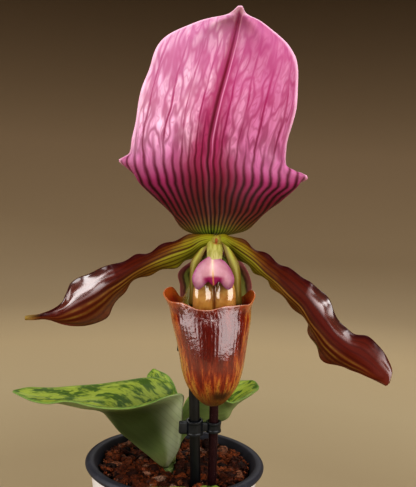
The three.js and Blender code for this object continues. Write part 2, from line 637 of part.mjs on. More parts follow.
// The ribbed ovary, with the small peg at its end that the flower's pieces stand round.
function ovaryGeometry() {
  const { route, radii, ribs, ribDepth, pegRadius, pegBack, pegFront } = OVARY;
  const body = stemGeometry(
    route,
    (share, turn) => {
      const rib = ribDepth * Math.sin(Math.PI * share) * Math.cos(ribs * turn);
      return along(radii, share) * (1 + rib);
    },
    15,
    14,
  );
  const peg = stemGeometry([[0, pegBack, 0], [0, pegFront, 0]], () => pegRadius, 10, 1);
  return combined([body, peg.applyMatrix4(toPart)]);
}

// The bract sheathes the foot of the ovary from behind and ends in a point.
function bractGeometry() {
  const spine = smooth([...SCAPE.route.slice(-2), ...OVARY.route.slice(1, 4)].map(vec));
  const [rows, columns] = [9, 8];
  const grid = [];
  for (let i = 0; i <= rows; i++) {
    const share = i / rows;
    const at = 0.16 + 0.6 * share;
    const centre = spine.getPoint(at);
    const ahead = spine.getTangent(at);
    const sideways = new THREE.Vector3(1, 0, 0).addScaledVector(ahead, -ahead.x).normalize();
    const outward = sideways.clone().cross(ahead).negate();
    const radius = 3 + 1.6 * Math.sin((Math.PI * share) / 2);
    const wrap = THREE.MathUtils.degToRad(THREE.MathUtils.lerp(110, 7, share ** 2.2));
    const row = [];
    for (let j = 0; j <= columns; j++) {
      const turn = wrap * ((2 * j) / columns - 1);
      const point = centre.clone().addScaledVector(outward, radius * Math.cos(turn));
      row.push(point.addScaledVector(sideways, radius * Math.sin(turn)));
    }
    grid.push(row);
  }
  return bladeGeometry(grid, THICK.bract);
}

// The pouch: rings below, throat and rim above, and the two folds of the side lobes in its mouth.
function lipGeometry() {
  const rails = LIP_RIM.map(([degrees, throat, rim]) => {
    const turn = THREE.MathUtils.degToRad(degrees);
    const ringPoint = ([height, middle, halfWidth, front, back]) =>
      new THREE.Vector3(
        middle + halfWidth * Math.sin(turn),
        (front + back) / 2 + ((front - back) / 2) * Math.cos(turn),
        height,
      );
    return smooth([vec(LIP_TOE), ...LIP_RINGS.map(ringPoint), vec(throat), vec(rim)]);
  });
  const [rows, columns] = [13, 22];
  const outer = [];
  for (let i = 1; i <= rows; i++) {
    const ring = smooth(rails.map((rail) => rail.getPoint(i / rows)), true);
    outer.push(Array.from({ length: columns }, (_, j) => ring.getPoint(j / columns)));
  }
  return combined([pouchShell(outer), ...LIP_LOBES.map(lobeGeometry)]);
}

// A cup from rings of points: an inner wall set in by the wall thickness, joined at the rim.
function pouchShell(outer) {
  const columns = outer[0].length;
  const rows = outer.length;
  const toe = vec(LIP_TOE);
  const inner = outer.map((ring, i) =>
    ring.map((point, j) => {
      const below = i ? outer[i - 1][j] : toe;
      const above = outer[Math.min(i + 1, rows - 1)][j];
      const around = ring[(j + 1) % columns].clone().sub(ring[(j - 1 + columns) % columns]);
      const normal = around.cross(above.clone().sub(below)).normalize();
      return point.clone().addScaledVector(normal, -THICK.lip);
    }),
  );
  const positions = [...outer.flat(), ...inner.flat()].flatMap((p) => p.toArray());
  const tips = positions.length / 3;
  positions.push(...toe.toArray(), toe.x, toe.y, toe.z + 1.3 * THICK.lip);
  const faces = [];
  const at = (i, j, layer) => layer * rows * columns + i * columns + (j % columns);
  for (let j = 0; j < columns; j++) {
    faces.push(tips, at(0, j + 1, 0), at(0, j, 0), tips + 1, at(0, j, 1), at(0, j + 1, 1));
    for (let i = 0; i < rows - 1; i++) {
      const [k, n] = [i + 1, j + 1];
      faces.push(at(i, j, 0), at(i, n, 0), at(k, n, 0), at(i, j, 0), at(k, n, 0), at(k, j, 0));
      faces.push(at(i, j, 1), at(k, n, 1), at(i, n, 1), at(i, j, 1), at(k, j, 1), at(k, n, 1));
    }
    const [a, b] = [at(rows - 1, j, 0), at(rows - 1, j + 1, 0)];
    const [c, d] = [at(rows - 1, j, 1), at(rows - 1, j + 1, 1)];
    faces.push(a, b, d, a, d, c);
  }
  return closedGeometry(positions, faces);
}

function lobeGeometry({ middle, half }) {
  const ball = new THREE.SphereGeometry(1, 12, 9);
  ball.deleteAttribute("normal");
  ball.deleteAttribute("uv");
  return fromThree(ball).scale(...half).translate(...middle);
}

// Column and shield grew as one piece.
function columnGeometry() {
  const body = stemGeometry(COLUMN.route, (share) => along(COLUMN.radii, share), 14, 7);
  const shield = bladeGeometry(surfaceGrid(transposed(SHIELD), 8, 12), THICK.shield);
  return combined([body, shield]);
}

// ---------------------------------------------------------------- scene graph

const COLOURS = {
  dorsal_sepal: 0xb8407f,
  synsepal: 0x6f7f35,
  petal_left: 0x5c2418,
  petal_right: 0x5c2418,
  lip: 0x8a2a1c,
  column: 0xd08aa8,
  ovary: 0x5a3b34,
  bract: 0x5d6b35,
  scape: 0x3a1418,
  leaf: 0x5f8f35,
  crown: 0x7c9448,
  bark_mix: 0x6a3420,
  cover_pot: 0xf0efec,
  grow_pot: 0x2c2c30,
  stake: 0x16171a,
  clip: 0x1b1c20,
};
const GLOSSY = { petal_left: 0.35, petal_right: 0.35, lip: 0.25, cover_pot: 0.3 };

function named(name, geometry, colour = name) {
  const material = new THREE.MeshStandardMaterial({
    color: COLOURS[colour],
    roughness: GLOSSY[name] ?? 0.6,
    metalness: 0,
    side: THREE.DoubleSide,
  });
  const mesh = new THREE.Mesh(geometry, material);
  mesh.name = name;
  return mesh;
}

const blade = (stations, lengthwise, crosswise, thickness) =>
  bladeGeometry(surfaceGrid(stations, lengthwise, crosswise), thickness);

function potGroup() {
  return new THREE.Group().add(
    named("cover_pot", coverPot()),
    named("grow_pot", growPot()),
    named("bark_mix", barkMix()),
  );
}

function stemGroup() {
  const group = new THREE.Group().add(
    named("crown_old", crownGeometry(OLD_CROWN), "crown"),
    named("crown_new", newCrownShape(0, 0, SCAPE.radius + GAP), "crown"),
    named("scape", stemGeometry(SCAPE.route, () => SCAPE.radius, 14, 14)),
    named("bract", bractGeometry()),
    named("ovary", ovaryGeometry()),
    named("stake", stemGeometry([STAKE.foot, STAKE.top], () => STAKE.radius, 12, 1)),
  );
  ["clip_lower", "clip_upper"].forEach((name, k) => {
    group.add(named(name, clipGeometry(CLIP.heights[k]), "clip"));
  });
  return group;
}

function leafGroup() {
  const group = new THREE.Group();
  for (const [name, stations] of Object.entries(LEAVES)) {
    group.add(named(name, blade(stations, 2 * stations.length - 4, 6, THICK.leaf), "leaf"));
  }
  return group;
}

function flowerGroup() {
  const group = new THREE.Group().add(
    named("dorsal_sepal", blade(DORSAL_SEPAL, 22, 12, THICK.sepal)),
    named("synsepal", blade(SYNSEPAL, 12, 8, THICK.sepal)),
    named("petal_left", blade(LEFT_PETAL, 24, 6, THICK.petal)),
    named("petal_right", blade(RIGHT_PETAL, 28, 6, THICK.petal)),
    named("lip", lipGeometry()),
    named("column", columnGeometry()),
  );
  group.applyMatrix4(toPart);
  return group;
}

const orchid = new THREE.Group();
orchid.add(potGroup(), stemGroup(), leafGroup(), flowerGroup());

export default orchid;
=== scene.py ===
"""Looks of a slipper orchid in flower: staked, rooted in bark, in a grow pot and a cover pot.

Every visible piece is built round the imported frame. Shapes are worked out in millimetres in the
part's own frame, +Z up, and written to the meshes in metres. The flower's blades and the leaves
are smooth surfaces through stations, with ribs, waves and true thickness, and each finish reads
the surface's own attributes, so veins and mottling follow the tissue.
"""

import functools
import json
import logging
import math
from dataclasses import dataclass
from enum import Enum
from typing import Any, Sequence

import bmesh
import bpy
import numpy as np
from mathutils import Matrix, Vector

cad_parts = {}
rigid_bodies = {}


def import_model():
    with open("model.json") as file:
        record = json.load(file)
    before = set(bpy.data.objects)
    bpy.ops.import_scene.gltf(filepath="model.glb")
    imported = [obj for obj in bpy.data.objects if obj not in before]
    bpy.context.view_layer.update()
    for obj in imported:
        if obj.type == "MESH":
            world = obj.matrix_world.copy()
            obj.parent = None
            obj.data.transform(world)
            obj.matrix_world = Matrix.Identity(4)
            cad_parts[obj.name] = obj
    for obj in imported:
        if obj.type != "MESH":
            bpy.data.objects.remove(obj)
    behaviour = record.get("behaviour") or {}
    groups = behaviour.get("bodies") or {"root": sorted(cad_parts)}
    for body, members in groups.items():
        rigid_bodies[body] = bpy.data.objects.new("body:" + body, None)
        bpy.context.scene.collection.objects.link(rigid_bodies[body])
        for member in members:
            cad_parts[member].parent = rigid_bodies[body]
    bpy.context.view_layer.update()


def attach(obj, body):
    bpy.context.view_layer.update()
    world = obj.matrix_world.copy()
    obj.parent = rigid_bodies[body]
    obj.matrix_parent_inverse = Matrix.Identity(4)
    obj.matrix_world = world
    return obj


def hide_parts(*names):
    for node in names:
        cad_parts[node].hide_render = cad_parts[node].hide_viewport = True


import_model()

MM = 0.001
BODY = "root"
LOG = logging.getLogger("orchid")

# ---- sizes, in millimetres

FLOWER_PLACE = (11.3, -85.4, 173.7)
FLOWER_NOD, FLOWER_LEAN = 2.6, 3.0  # degrees

POT_HEIGHT, LIP_HEIGHT, LIP_WIDTH, RIM_RADIUS = 70.0, 3.4, 4.6, 41.0
COVER_RADIUS, FOOT_RADIUS, COVER_WALL, POT_WALL = 38.3, 29.0, 2.2, 1.2
INSIDE_AT_FLOOR, INSIDE_AT_LIP = 25.0, 34.7  # the grow pot's inner radius
GAP = 0.3
BARK_FLOOR, BARK_LEVEL = 6.4, 63.4
HEAP, HEAP_START, HEAP_RUN = 2.2, 23.0, 8.0  # how much higher the chips lie at the wall, and from where
DRAINS, DRAIN_RADIUS, DRAIN_RING, DRAIN_SPAN = 5, 3.0, 15.0, (3, 8)

# the two growths at the bark: middle and half widths
OLD_GROWTH, NEW_GROWTH = ((-2.8, 4.6), (3.6, 8.4)), ((17.2, -22.4), (4.0, 4.0))

SCAPE_RADIUS = 1.9
SCAPE_ROUTE = [
    [17.4, -22.3, 56], [17.1, -22.3, 66], [16.6, -22.8, 85], [16.2, -23.5, 100], [15.4, -25.5, 115],
    [14.4, -29, 130], [13.5, -34, 143], [12.8, -39.5, 152.5],
]
STAKE_RADIUS, STAKE_FOOT, STAKE_TOP = 2.2, [12.9, -19.6, 22], [5.3, -28.9, 142]
STAKE_AT_BARK = (10.3, -22.8)
CLIP_HEIGHTS = (93.0, 128.0)
CLIP_TALL, CLIP_STAKE_TALL, CLIP_CLEARANCE, CLIP_WALL, CLIP_LOBE, CLIP_THICK = 4.4, 6.2, 0.45, 0.9, 3.6, 2.5
OVARY_ROUTE = [
    [12.7, -40.1, 153.4], [12.2, -43.5, 160], [11.8, -50.5, 168], [11.5, -60, 173.2],
    [11.4, -71, 174.9], [11.3, -82.1, 173.9],
]
OVARY_RADII = [1.9, 2.3, 2.7, 2.8, 2.3, 2.6]

# Blades are lists of stations from base to tip, each a row of points from one margin to the other.

DORSAL_SEPAL = [
    [[-1.9, 2.1, 2.3], [-1, 2.1, 2.2], [0, 2.1, 2.2], [1, 2.1, 2.2], [1.9, 2.1, 2.3]],
    [[-9.5, 8.5, 5], [-8, 3.2, 4.5], [-0.3, -1, 4], [10, 3.2, 4.5], [12.5, 8.5, 5]],
    [[-12.5, 12, 9.5], [-12, 4, 9.5], [-0.5, -2, 9.5], [16.5, 4, 10], [15, 12, 9]],
    [[-18.5, 12, 15.5], [-18, 4.5, 15.5], [-1, -2, 14.5], [23, 4.5, 15.5], [22.5, 12, 15]],
    [[-25, 9, 22.5], [-24, 4, 21.5], [-1, -2, 21], [28, 4, 19.5], [29.5, 8, 20]],
    [[-31, 6.5, 27.5], [-24.5, 2, 25.5], [-1.5, -2, 26], [25, 2, 22.5], [31.5, 6, 21.8]],
    [[-27.3, 5.5, 29.5], [-22.5, 1, 29], [-1.2, -1.8, 29], [22, 1, 26], [24.8, 5, 24.3]],
    [[-26, 4.5, 35], [-20, 0, 33], [-1, -1.5, 33], [19.5, 0, 30.5], [24.5, 4.5, 31]],
    [[-24, 3.5, 46], [-16, -1, 43.5], [1.4, -1, 44.5], [20.5, -1, 43], [27.5, 3.5, 45]],
    [[-20.5, 2.5, 57], [-12.8, -2, 54], [4.4, -1, 55.5], [21, -2, 53.5], [28, 2.5, 56]],
    [[-15.5, 1, 66.5], [-8, -3, 63.8], [6.6, -1.5, 63.8], [18.5, -3, 62.5], [25, 1, 64]],
    [[-5, -2, 70.5], [0.2, -4.5, 69.2], [8, -3, 69.6], [12.8, -4.5, 69], [16.5, -2, 70]],
    [[5.5, -6, 72], [7.2, -6.3, 71.8], [8.5, -6, 72], [9.6, -6.3, 71.8], [10.5, -6, 72]],
    [[8, -8.5, 73.2], [8.3, -8.5, 73.3], [8.7, -8.5, 73.3], [9, -8.5, 73.3], [9.3, -8.5, 73.2]],
]

# how far the sepal's veins have spread: shares of its length, shares of their full spacing
FAN = ([0, 0.05, 0.12, 0.24, 0.5, 0.85, 1], [0.2, 0.5, 0.75, 1, 1.1, 1.1, 0.6])

# upper margin, midrib, lower margin
LEFT_PETAL = [
    [[1.1, -1.6, 2.4], [0.7, -3.6, 1.4], [-0.2, -2.8, 0.2]],
    [[-3.4, -0.8, 2.8], [-3.4, -2.9, 0.7], [-3.4, -1.2, -1.8]],
    [[-7, 0.6, 2.5], [-7, -1.4, -1.3], [-6.5, 1.6, -4.5]],
    [[-14, 0, 0], [-13.5, -3, -3.5], [-11.5, 1, -7.5]],
    [[-20.5, -1, -3], [-19, -5, -6], [-17, -1, -9]],
    [[-26.5, -2, -5], [-24.5, -6, -9], [-22, -2, -10.5]],
    [[-31, -5, -7], [-28.5, -6.5, -11.5], [-26, -3, -13]],
    [[-35, -6, -8], [-32.5, -7.5, -14], [-29, -3, -16.5]],
    [[-39.5, -7, -10.5], [-36, -9.5, -16.5], [-31.5, -3, -20.5]],
    [[-44, -8, -12.5], [-40.5, -11.5, -19], [-34.5, -4, -24]],
    [[-45, -10, -16.5], [-43.5, -13, -20.5], [-39.5, -7, -26]],
    [[-46.5, -12.5, -19], [-47, -14, -22], [-45, -11, -24.5]],
    [[-50, -15, -21], [-50, -15, -22], [-50, -14.5, -23]],
    [[-55.5, -17, -21.9], [-55.5, -17, -22.2], [-55.5, -17, -22.6]],
]
RIGHT_PETAL = [
    [[1.5, -1.6, 2.4], [1.9, -3.6, 1.4], [2.7, -2.6, 0.3]],
    [[4, -0.6, 2.7], [4.3, -2.5, 0.8], [4, -1, -1.1]],
    [[5.8, 0.4, 2.3], [6.2, -1.4, -0.6], [5.6, 1.2, -2.7]],
    [[9.5, 0, 1], [9, -3, -2.5], [8, 1, -4.5]],
    [[14, -1.5, -2], [13, -5.5, -5.5], [11, -1, -7]],
    [[18.5, -4, -4.5], [16.5, -8, -9], [14.5, -3, -9.5]],
    [[22.5, -6, -7.5], [20, -10.5, -12], [18, -6, -12.5]],
    [[27, -9, -10], [23.5, -13, -15.5], [21, -9, -16]],
    [[30.5, -11, -13], [27, -15, -19], [25.5, -11, -20]],
    [[34, -13.5, -15.5], [29.5, -17.5, -23], [28.5, -13, -24]],
    [[36, -16, -20.5], [32, -20, -26], [29.5, -14, -27]],
    [[38, -19, -24], [34.5, -22, -29], [31, -14, -31]],
    [[40.5, -21, -26.5], [37.5, -24, -31.5], [33, -16, -34.5]],
    [[45, -21, -27], [40.5, -25, -33.5], [36.5, -19, -36]],
    [[47.5, -22, -30], [43.5, -26, -35.5], [40, -22.5, -36.5]],
    [[50, -23, -33], [46, -26.5, -37.5], [43, -25, -37.5]],
    [[51, -24.5, -36.5], [48.3, -26, -38.7], [46.5, -26, -39]],
    [[49.8, -26, -39.5], [49.4, -26, -39.9], [49, -26, -40.2]],
]
LOWER_SEPAL = [
    [[-1.9, 2.1, -2.2], [0, 2.1, -2.2], [1.9, 2.1, -2.2]],
    [[-7, 5, -6.5], [0, 6.5, -6.5], [8.5, 5, -5.5]],
    [[-11, 6, -10], [0, 12, -12], [11.5, 6, -9]],
    [[-10.5, 9, -14.5], [0.5, 15.5, -17], [13, 8, -13.5]],
    [[-10.5, 12, -20], [0.5, 18, -23], [13, 12, -19.5]],
    [[-10, 15, -27.5], [0.5, 20, -30], [12, 15, -27.5]],
    [[-7.5, 18, -36], [0.5, 21, -37.5], [9, 18, -36]],
    [[-3, 21, -42.5], [0.5, 22, -43], [4.5, 21, -42.5]],
    [[0, 23, -46.3], [0.5, 23, -46.5], [1, 23, -46.3]],
]

# The pouch: its toe, oval rings (height, middle, half width, front, back), then degrees round from
# the front with the throat and rim points.
LIP_TOE = [0.3, -12.3, -49.6]
LIP_RINGS = [
    [-48.9, 0.2, 2.4, -14.6, -10.2],
    [-47.3, 0.1, 4.4, -17, -8.6],
    [-45, 0, 6.2, -19.3, -7.2],
    [-42, 0, 8, -21.2, -6],
    [-38, 0, 9.2, -22.6, -4.8],
    [-34, 0, 9.9, -23.2, -3.8],
    [-29, -0.1, 10.8, -23, -2.8],
    [-24, -0.3, 11.9, -22.2, -2],
]
LIP_RIM = [
    [0, [-0.5, -20.9, -21.4], [-0.5, -20.4, -19.7]],
    [20, [3.2, -20.6, -20.8], [3.2, -20.1, -18.7]],
    [40, [7.4, -18.6, -20.6], [7.7, -18.1, -18.5]],
    [60, [10.6, -14.3, -20.6], [11.4, -13.6, -18.4]],
    [80, [12.2, -9.3, -19.4], [13.4, -8.5, -16]],
    [100, [11.6, -5, -19], [12.4, -3.6, -15.2]],
    [120, [9.4, -1.7, -20.5], [9, -0.8, -17.5]],
    [150, [5.4, -0.8, -15.5], [4.4, 0.4, -8]],
    [180, [0, -0.6, -13], [0, 0.6, -3.3]],
    [-150, [-5.4, -0.8, -15.5], [-4.4, 0.4, -8]],
    [-120, [-9.8, -1.7, -20.5], [-9.8, -0.8, -17.6]],
    [-100, [-12.2, -5, -18.6], [-12.9, -3.3, -14.2]],
    [-80, [-13.4, -9.3, -19], [-15.2, -8.5, -15.3]],
    [-60, [-11.9, -14.3, -20], [-12.9, -13.6, -17.5]],
    [-40, [-8.2, -18.9, -20.2], [-8.4, -18.4, -17.9]],
    [-20, [-4.3, -20.7, -21.2], [-4.3, -20.3, -19.5]],
]
# middle and half sizes of each side lobe, and of the fold between them
LIP_LOBES = [([-2.9, -6.1, -18.2], [3.3, 2.3, 7.8]), ([4, -6.1, -18.2], [3.5, 2.3, 7.8])]
LIP_FOLD = ([0.7, -5.2, -17.8], [1.6, 2.0, 7.4])
# the claw's green edges, left and right of the column: outer edge, middle, inner edge
CLAW_BANDS = {
    -1: [
        [[-4.1, -2, -2.5], [-2.8, -2.8, -1.6], [-1.3, -3.2, -0.7]],
        [[-6.5, -3.4, -6], [-5.4, -4.2, -5.8], [-3.6, -4.4, -5.4]],
        [[-6.9, -3.8, -10.1], [-6.1, -4.8, -10.1], [-4.8, -4.8, -10.1]],
        [[-6.9, -3.8, -14.9], [-6.2, -5, -14.9], [-5.2, -5, -14.9]],
        [[-7.2, -3.8, -19.5], [-6.4, -4.8, -19.5], [-5.4, -5, -19.5]],
    ],
    1: [
        [[6.3, -2, -2.9], [4.8, -2.8, -1.4], [3.1, -3.2, 0]],
        [[8.1, -3.4, -6], [6.6, -4.2, -5.8], [4.8, -4.4, -5.4]],
        [[8.9, -3.8, -10.1], [7.7, -4.8, -10.1], [6.2, -4.8, -10.1]],
        [[9, -3.8, -14.9], [8, -5, -14.9], [6.8, -5, -14.9]],
        [[9.2, -3.8, -19.5], [8.2, -4.8, -19.5], [7, -5, -19.5]],
    ],
}
# the hairy mound above the column, and the boss on it: middle and half sizes
MOUND = ([1.3, -3.1, 0.3], [1.7, 1.9, 2.1])
BOSS = ([1.3, -4.7, 0.6], [0.5, 0.5, 0.9])

COLUMN_ROUTE = [[0.6, 0.7, 0], [0.7, -1.6, -0.8], [0.8, -4.6, -3.4], [0.5, -7.6, -7.2]]
COLUMN_RADII = [2.2, 2.7, 2.5, 2.2]
# each row runs down the shield: left edge, lobe, notch, tooth, notch, lobe, right edge
SHIELD = [
    [[-1.3, -7.2, -4.6], [-3.8, -7.8, -6.5], [-5.4, -8.6, -9], [-6, -9, -11.3], [-5.1, -9.1, -13.7]],
    [[-0.7, -7.4, -4.5], [-2.2, -9.5, -7.1], [-3.3, -10.5, -10.1], [-3.9, -10.6, -12.3], [-4.1, -10, -14.2]],
    [[-0.4, -7.5, -4.5], [-1, -10, -7.1], [-1.6, -11, -9.6], [-1.5, -11, -10.9], [-1.2, -10.7, -11.8]],
    [[0, -7.5, -4.5], [0.1, -10.1, -7.1], [0.2, -11.2, -9.8], [0.3, -11.2, -11.5], [0.4, -10.8, -13]],
    [[0.4, -7.5, -4.5], [1.3, -10, -7.1], [1.9, -11, -9.6], [2, -11, -10.8], [1.9, -10.7, -11.7]],
    [[0.8, -7.4, -4.5], [2.7, -9.5, -7.1], [4.1, -10.5, -9.8], [4.7, -10.6, -12.3], [4.6, -10, -14.2]],
    [[1.4, -7.2, -4.6], [4, -7.8, -6.2], [5.8, -8.6, -8.7], [6.6, -9, -11.3], [6, -9.1, -13.7]],
]

# near margin, keel, far margin
LEAVES = {
    "leaf_left": [
        [[-3, -1.6, 65.6], [-5, -0.2, 65.5], [-3.4, 1.6, 65.6]],
        [[2, -9, 78], [-11, 0, 70.5], [-7.5, 6, 72]],
        [[2.8, -15, 89], [-16.5, -1, 75], [-9, 10, 78.5]],
        [[2.8, -19, 98], [-21, -2, 79], [-7.5, 13, 87.5]],
        [[2.4, -22, 105.4], [-25, -3, 82.5], [-3.5, 15, 94.5]],
        [[-3.5, -24, 104.8], [-28, -4, 86], [-4, 16, 99]],
        [[-11, -25.5, 102], [-31, -4.5, 89.5], [-8.5, 16, 102]],
        [[-19, -26, 100], [-33.5, -5, 92], [-16.5, 15, 102.5]],
        [[-27.5, -26, 99.5], [-37.5, -5.5, 93.5], [-26, 13, 101]],
        [[-36, -25, 99.5], [-44, -6, 94], [-36, 10, 99.5]],
        [[-46, -22.5, 100], [-52, -7, 95.5], [-46.5, 5, 99.5]],
        [[-56, -19, 98], [-60, -8.5, 97], [-57, 0, 99.5]],
        [[-66, -15.5, 98.5], [-67, -10.5, 98.5], [-66.5, -5, 100.5]],
        [[-72.5, -13.2, 100.5], [-72.7, -12.6, 100.5], [-72.5, -12, 100.7]],
    ],
    "leaf_right": [
        [[-2.6, 3.9, 65.6], [-0.8, 5.2, 65.5], [-2.6, 7, 65.6]],
        [[0, 2, 77], [0, 5.5, 73], [0, 10, 76.5]],
        [[1.5, -3, 89.5], [3.5, 4, 79.5], [1.5, 17, 86]],
        [[4, -8, 98.5], [8.5, 4, 82.5], [4.5, 23, 91.5]],
        [[8.5, -12, 103], [14, 4.5, 84.5], [10, 28, 95]],
        [[14.5, -14, 104], [19, 5.5, 86.5], [16.5, 31, 97]],
        [[19.5, -14, 103], [23, 7, 88], [22.5, 32, 98.5]],
        [[24, -12, 100.5], [25, 9, 91.5], [28, 31, 99]],
        [[28.5, -7, 100.5], [28.5, 11, 95], [33, 28, 100]],
        [[33.5, 0, 101], [32.5, 12, 98], [36.5, 22, 101.5]],
        [[37.5, 9, 101.5], [37.9, 12, 101], [38, 14, 101.5]],
    ],
    "leaf_back": [
        [[-4.6, 9.4, 65.6], [-2.8, 11.4, 65.5], [-1.2, 9.4, 65.6]],
        [[-8.5, 14, 73], [-3.5, 16.5, 72], [1, 14.5, 73]],
        [[-12, 19, 83], [-5.3, 22, 82.5], [1, 19.5, 83.5]],
        [[-15, 24, 92.5], [-8, 27, 92], [-1.5, 24.5, 93]],
        [[-17, 28.5, 99.5], [-11.8, 30.5, 99], [-6.5, 29, 100]],
        [[-14.8, 33, 102.3], [-14.3, 33, 102.3], [-13.7, 33, 102.3]],
    ],
    "leaf_front_left": [
        [[14.4, -27.2, 65.5], [13.3, -26.3, 65.3], [12.6, -25.2, 65.5]],
        [[11, -33, 69.2], [8.4, -31.2, 68.4], [6.4, -29, 68]],
        [[6.4, -38.8, 71.7], [2.8, -36.2, 71.3], [0.4, -33.4, 69.5]],
        [[0.8, -48.4, 72.4], [-4, -43.2, 71.8], [-8.2, -38.6, 71.5]],
        [[-5, -59, 71.6], [-13, -51, 70.8], [-20.5, -43.5, 71.4]],
        [[-14, -67.5, 66.4], [-21.5, -59.6, 65.4], [-28, -52.2, 66.2]],
        [[-24, -72.2, 58], [-28.6, -66.4, 57], [-33, -61, 58]],
        [[-32.4, -71.4, 51.8], [-32.8, -71, 51.8], [-33.2, -70.6, 51.8]],
    ],
    "leaf_front_right": [
        [[19.4, -26.8, 65.4], [18, -27.1, 65.2], [16.7, -27, 65.4]],
        [[19, -29.9, 69.8], [17.2, -29.7, 68.8], [15.2, -29.7, 68.8]],
        [[19, -33.8, 71.9], [16, -33.4, 71.5], [13, -33.2, 71.2]],
        [[23, -40.2, 72.4], [16.6, -41.2, 72], [10.6, -42.4, 72.4]],
        [[31, -47.4, 72.4], [22, -51.6, 71.4], [13.4, -56, 72.2]],
        [[39, -54, 67.4], [30, -60.6, 66.4], [21.6, -67.4, 67.2]],
        [[43.8, -62, 59], [38, -67.4, 58], [32.6, -73.2, 58.8]],
        [[44.8, -70.4, 51.6], [44.4, -70.8, 51.6], [44, -71.2, 51.6]],
    ],
}

# ---- curves and surfaces


def curve_points(points: Any, shares: Any, closed: bool = False) -> np.ndarray:
    """Points along a smooth centripetal curve.

    Args:
        points: the points that the curve passes through.
        shares: where to read it, from 0 at its start to 1 at its end.
        closed: whether it runs back to its first point.

    Returns:
        One point for each share.
    """
    own = np.asarray(points, float)
    if closed:
        spans = len(own)
        padded = np.vstack([own[-1:], own, own[:2]])
    else:
        spans = len(own) - 1
        padded = np.vstack([2 * own[0] - own[1], own, 2 * own[-1] - own[-2]])
    at = np.clip(np.asarray(shares, float), 0, 1) * spans
    k = np.minimum(at.astype(int), spans - 1)
    w = (at - k)[:, None]
    x0, x1, x2, x3 = (padded[k + step] for step in range(4))
    d0, d1, d2 = (
        np.sum((b - a) ** 2, axis=1, keepdims=True) ** 0.25
        for a, b in ((x0, x1), (x1, x2), (x2, x3))
    )
    d1 = np.where(d1 < 1e-4, 1, d1)
    d0 = np.where(d0 < 1e-4, d1, d0)
    d2 = np.where(d2 < 1e-4, d1, d2)
    t1 = ((x1 - x0) / d0 - (x2 - x0) / (d0 + d1) + (x2 - x1) / d1) * d1
    t2 = ((x2 - x1) / d1 - (x3 - x1) / (d1 + d2) + (x3 - x2) / d2) * d1
    return x1 + w * (t1 + w * (3 * (x2 - x1) - 2 * t1 - t2 + w * (2 * (x1 - x2) + t1 + t2)))


def spaced_row(points: np.ndarray, count: int) -> np.ndarray:
    """Points across one row, spaced by distance on each side of its middle.

    Args:
        points: the row's own points.
        count: how many spans the new row has.

    Returns:
        count + 1 points.
    """
    spans = len(points) - 1
    at = np.linspace(0, 1, count + 1)
    if spans % 2 == 0:
        steps = np.linalg.norm(np.diff(points, axis=0), axis=1)
        half = spans // 2
        pieces = []
        for first, shares in ((0, 2 * at[at <= 0.5]), (half, 2 * at[at > 0.5] - 1)):
            run = np.concatenate([[0], np.cumsum(steps[first : first + half])])
            pieces.append(np.interp(shares * run[-1], run, np.arange(first, first + half + 1)))
        at = np.concatenate(pieces) / spans
    return curve_points(points, at)


NOISE_CELLS = 64  # after these the noise repeats


def value_noise(x: np.ndarray, y: np.ndarray, seed: int) -> np.ndarray:
    """Smooth random values from 0 to 1, one unit of x or y apart where they change.

    Args:
        x: places along one way.
        y: places along the other.
        seed: which values are drawn.

    Returns:
        A value for each place.
    """
    table = np.random.default_rng(seed).random((NOISE_CELLS, NOISE_CELLS))
    i, j = np.floor(x).astype(int), np.floor(y).astype(int)
    u, v = x - i, y - j
    u, v = u * u * (3 - 2 * u), v * v * (3 - 2 * v)

    def corner(a: int, b: int) -> np.ndarray:
        """The table's values at one corner of each cell."""
        return table[(i + a) % NOISE_CELLS, (j + b) % NOISE_CELLS]

    low = corner(0, 0) * (1 - u) + corner(1, 0) * u
    high = corner(0, 1) * (1 - u) + corner(1, 1) * u
    return low * (1 - v) + high * v


def bump(x: np.ndarray, middle: float, width: float) -> np.ndarray:
    """A soft hill of height 1 round middle."""
    return np.exp(-(((x - middle) / width) ** 2))


def unit(vectors: np.ndarray) -> np.ndarray:
    """The vectors at length 1."""
    return vectors / np.maximum(np.linalg.norm(vectors, axis=-1, keepdims=True), 1e-9)


def signed_power(values: np.ndarray, power: float) -> np.ndarray:
    """The values' sizes raised to a power, with their own signs."""
    return np.sign(values) * np.abs(values) ** power


def turns(sides: int) -> np.ndarray:
    """Equal turns round a ring, in radians."""
    return np.linspace(0, 2 * np.pi, sides, endpoint=False)


def ring_faces(rings: int, sides: int) -> np.ndarray:
    """Quads between rings of corners, each ring closed on itself.

    Args:
        rings: how many rings.
        sides: corners in each.

    Returns:
        Four corner numbers for each quad.
    """
    i, j = np.meshgrid(np.arange(rings - 1), np.arange(sides), indexing="ij")
    n = (j + 1) % sides
    low, high = i * sides, (i + 1) * sides
    return np.stack([low + j, low + n, high + n, high + j], -1).reshape(-1, 4)


def capped_faces(rings: int, sides: int) -> list[Any]:
    """Quads between rings of corners, and a face over each end."""
    first, last = range(sides), range((rings - 1) * sides, rings * sides)
    return [*ring_faces(rings, sides), list(first)[::-1], list(last)]


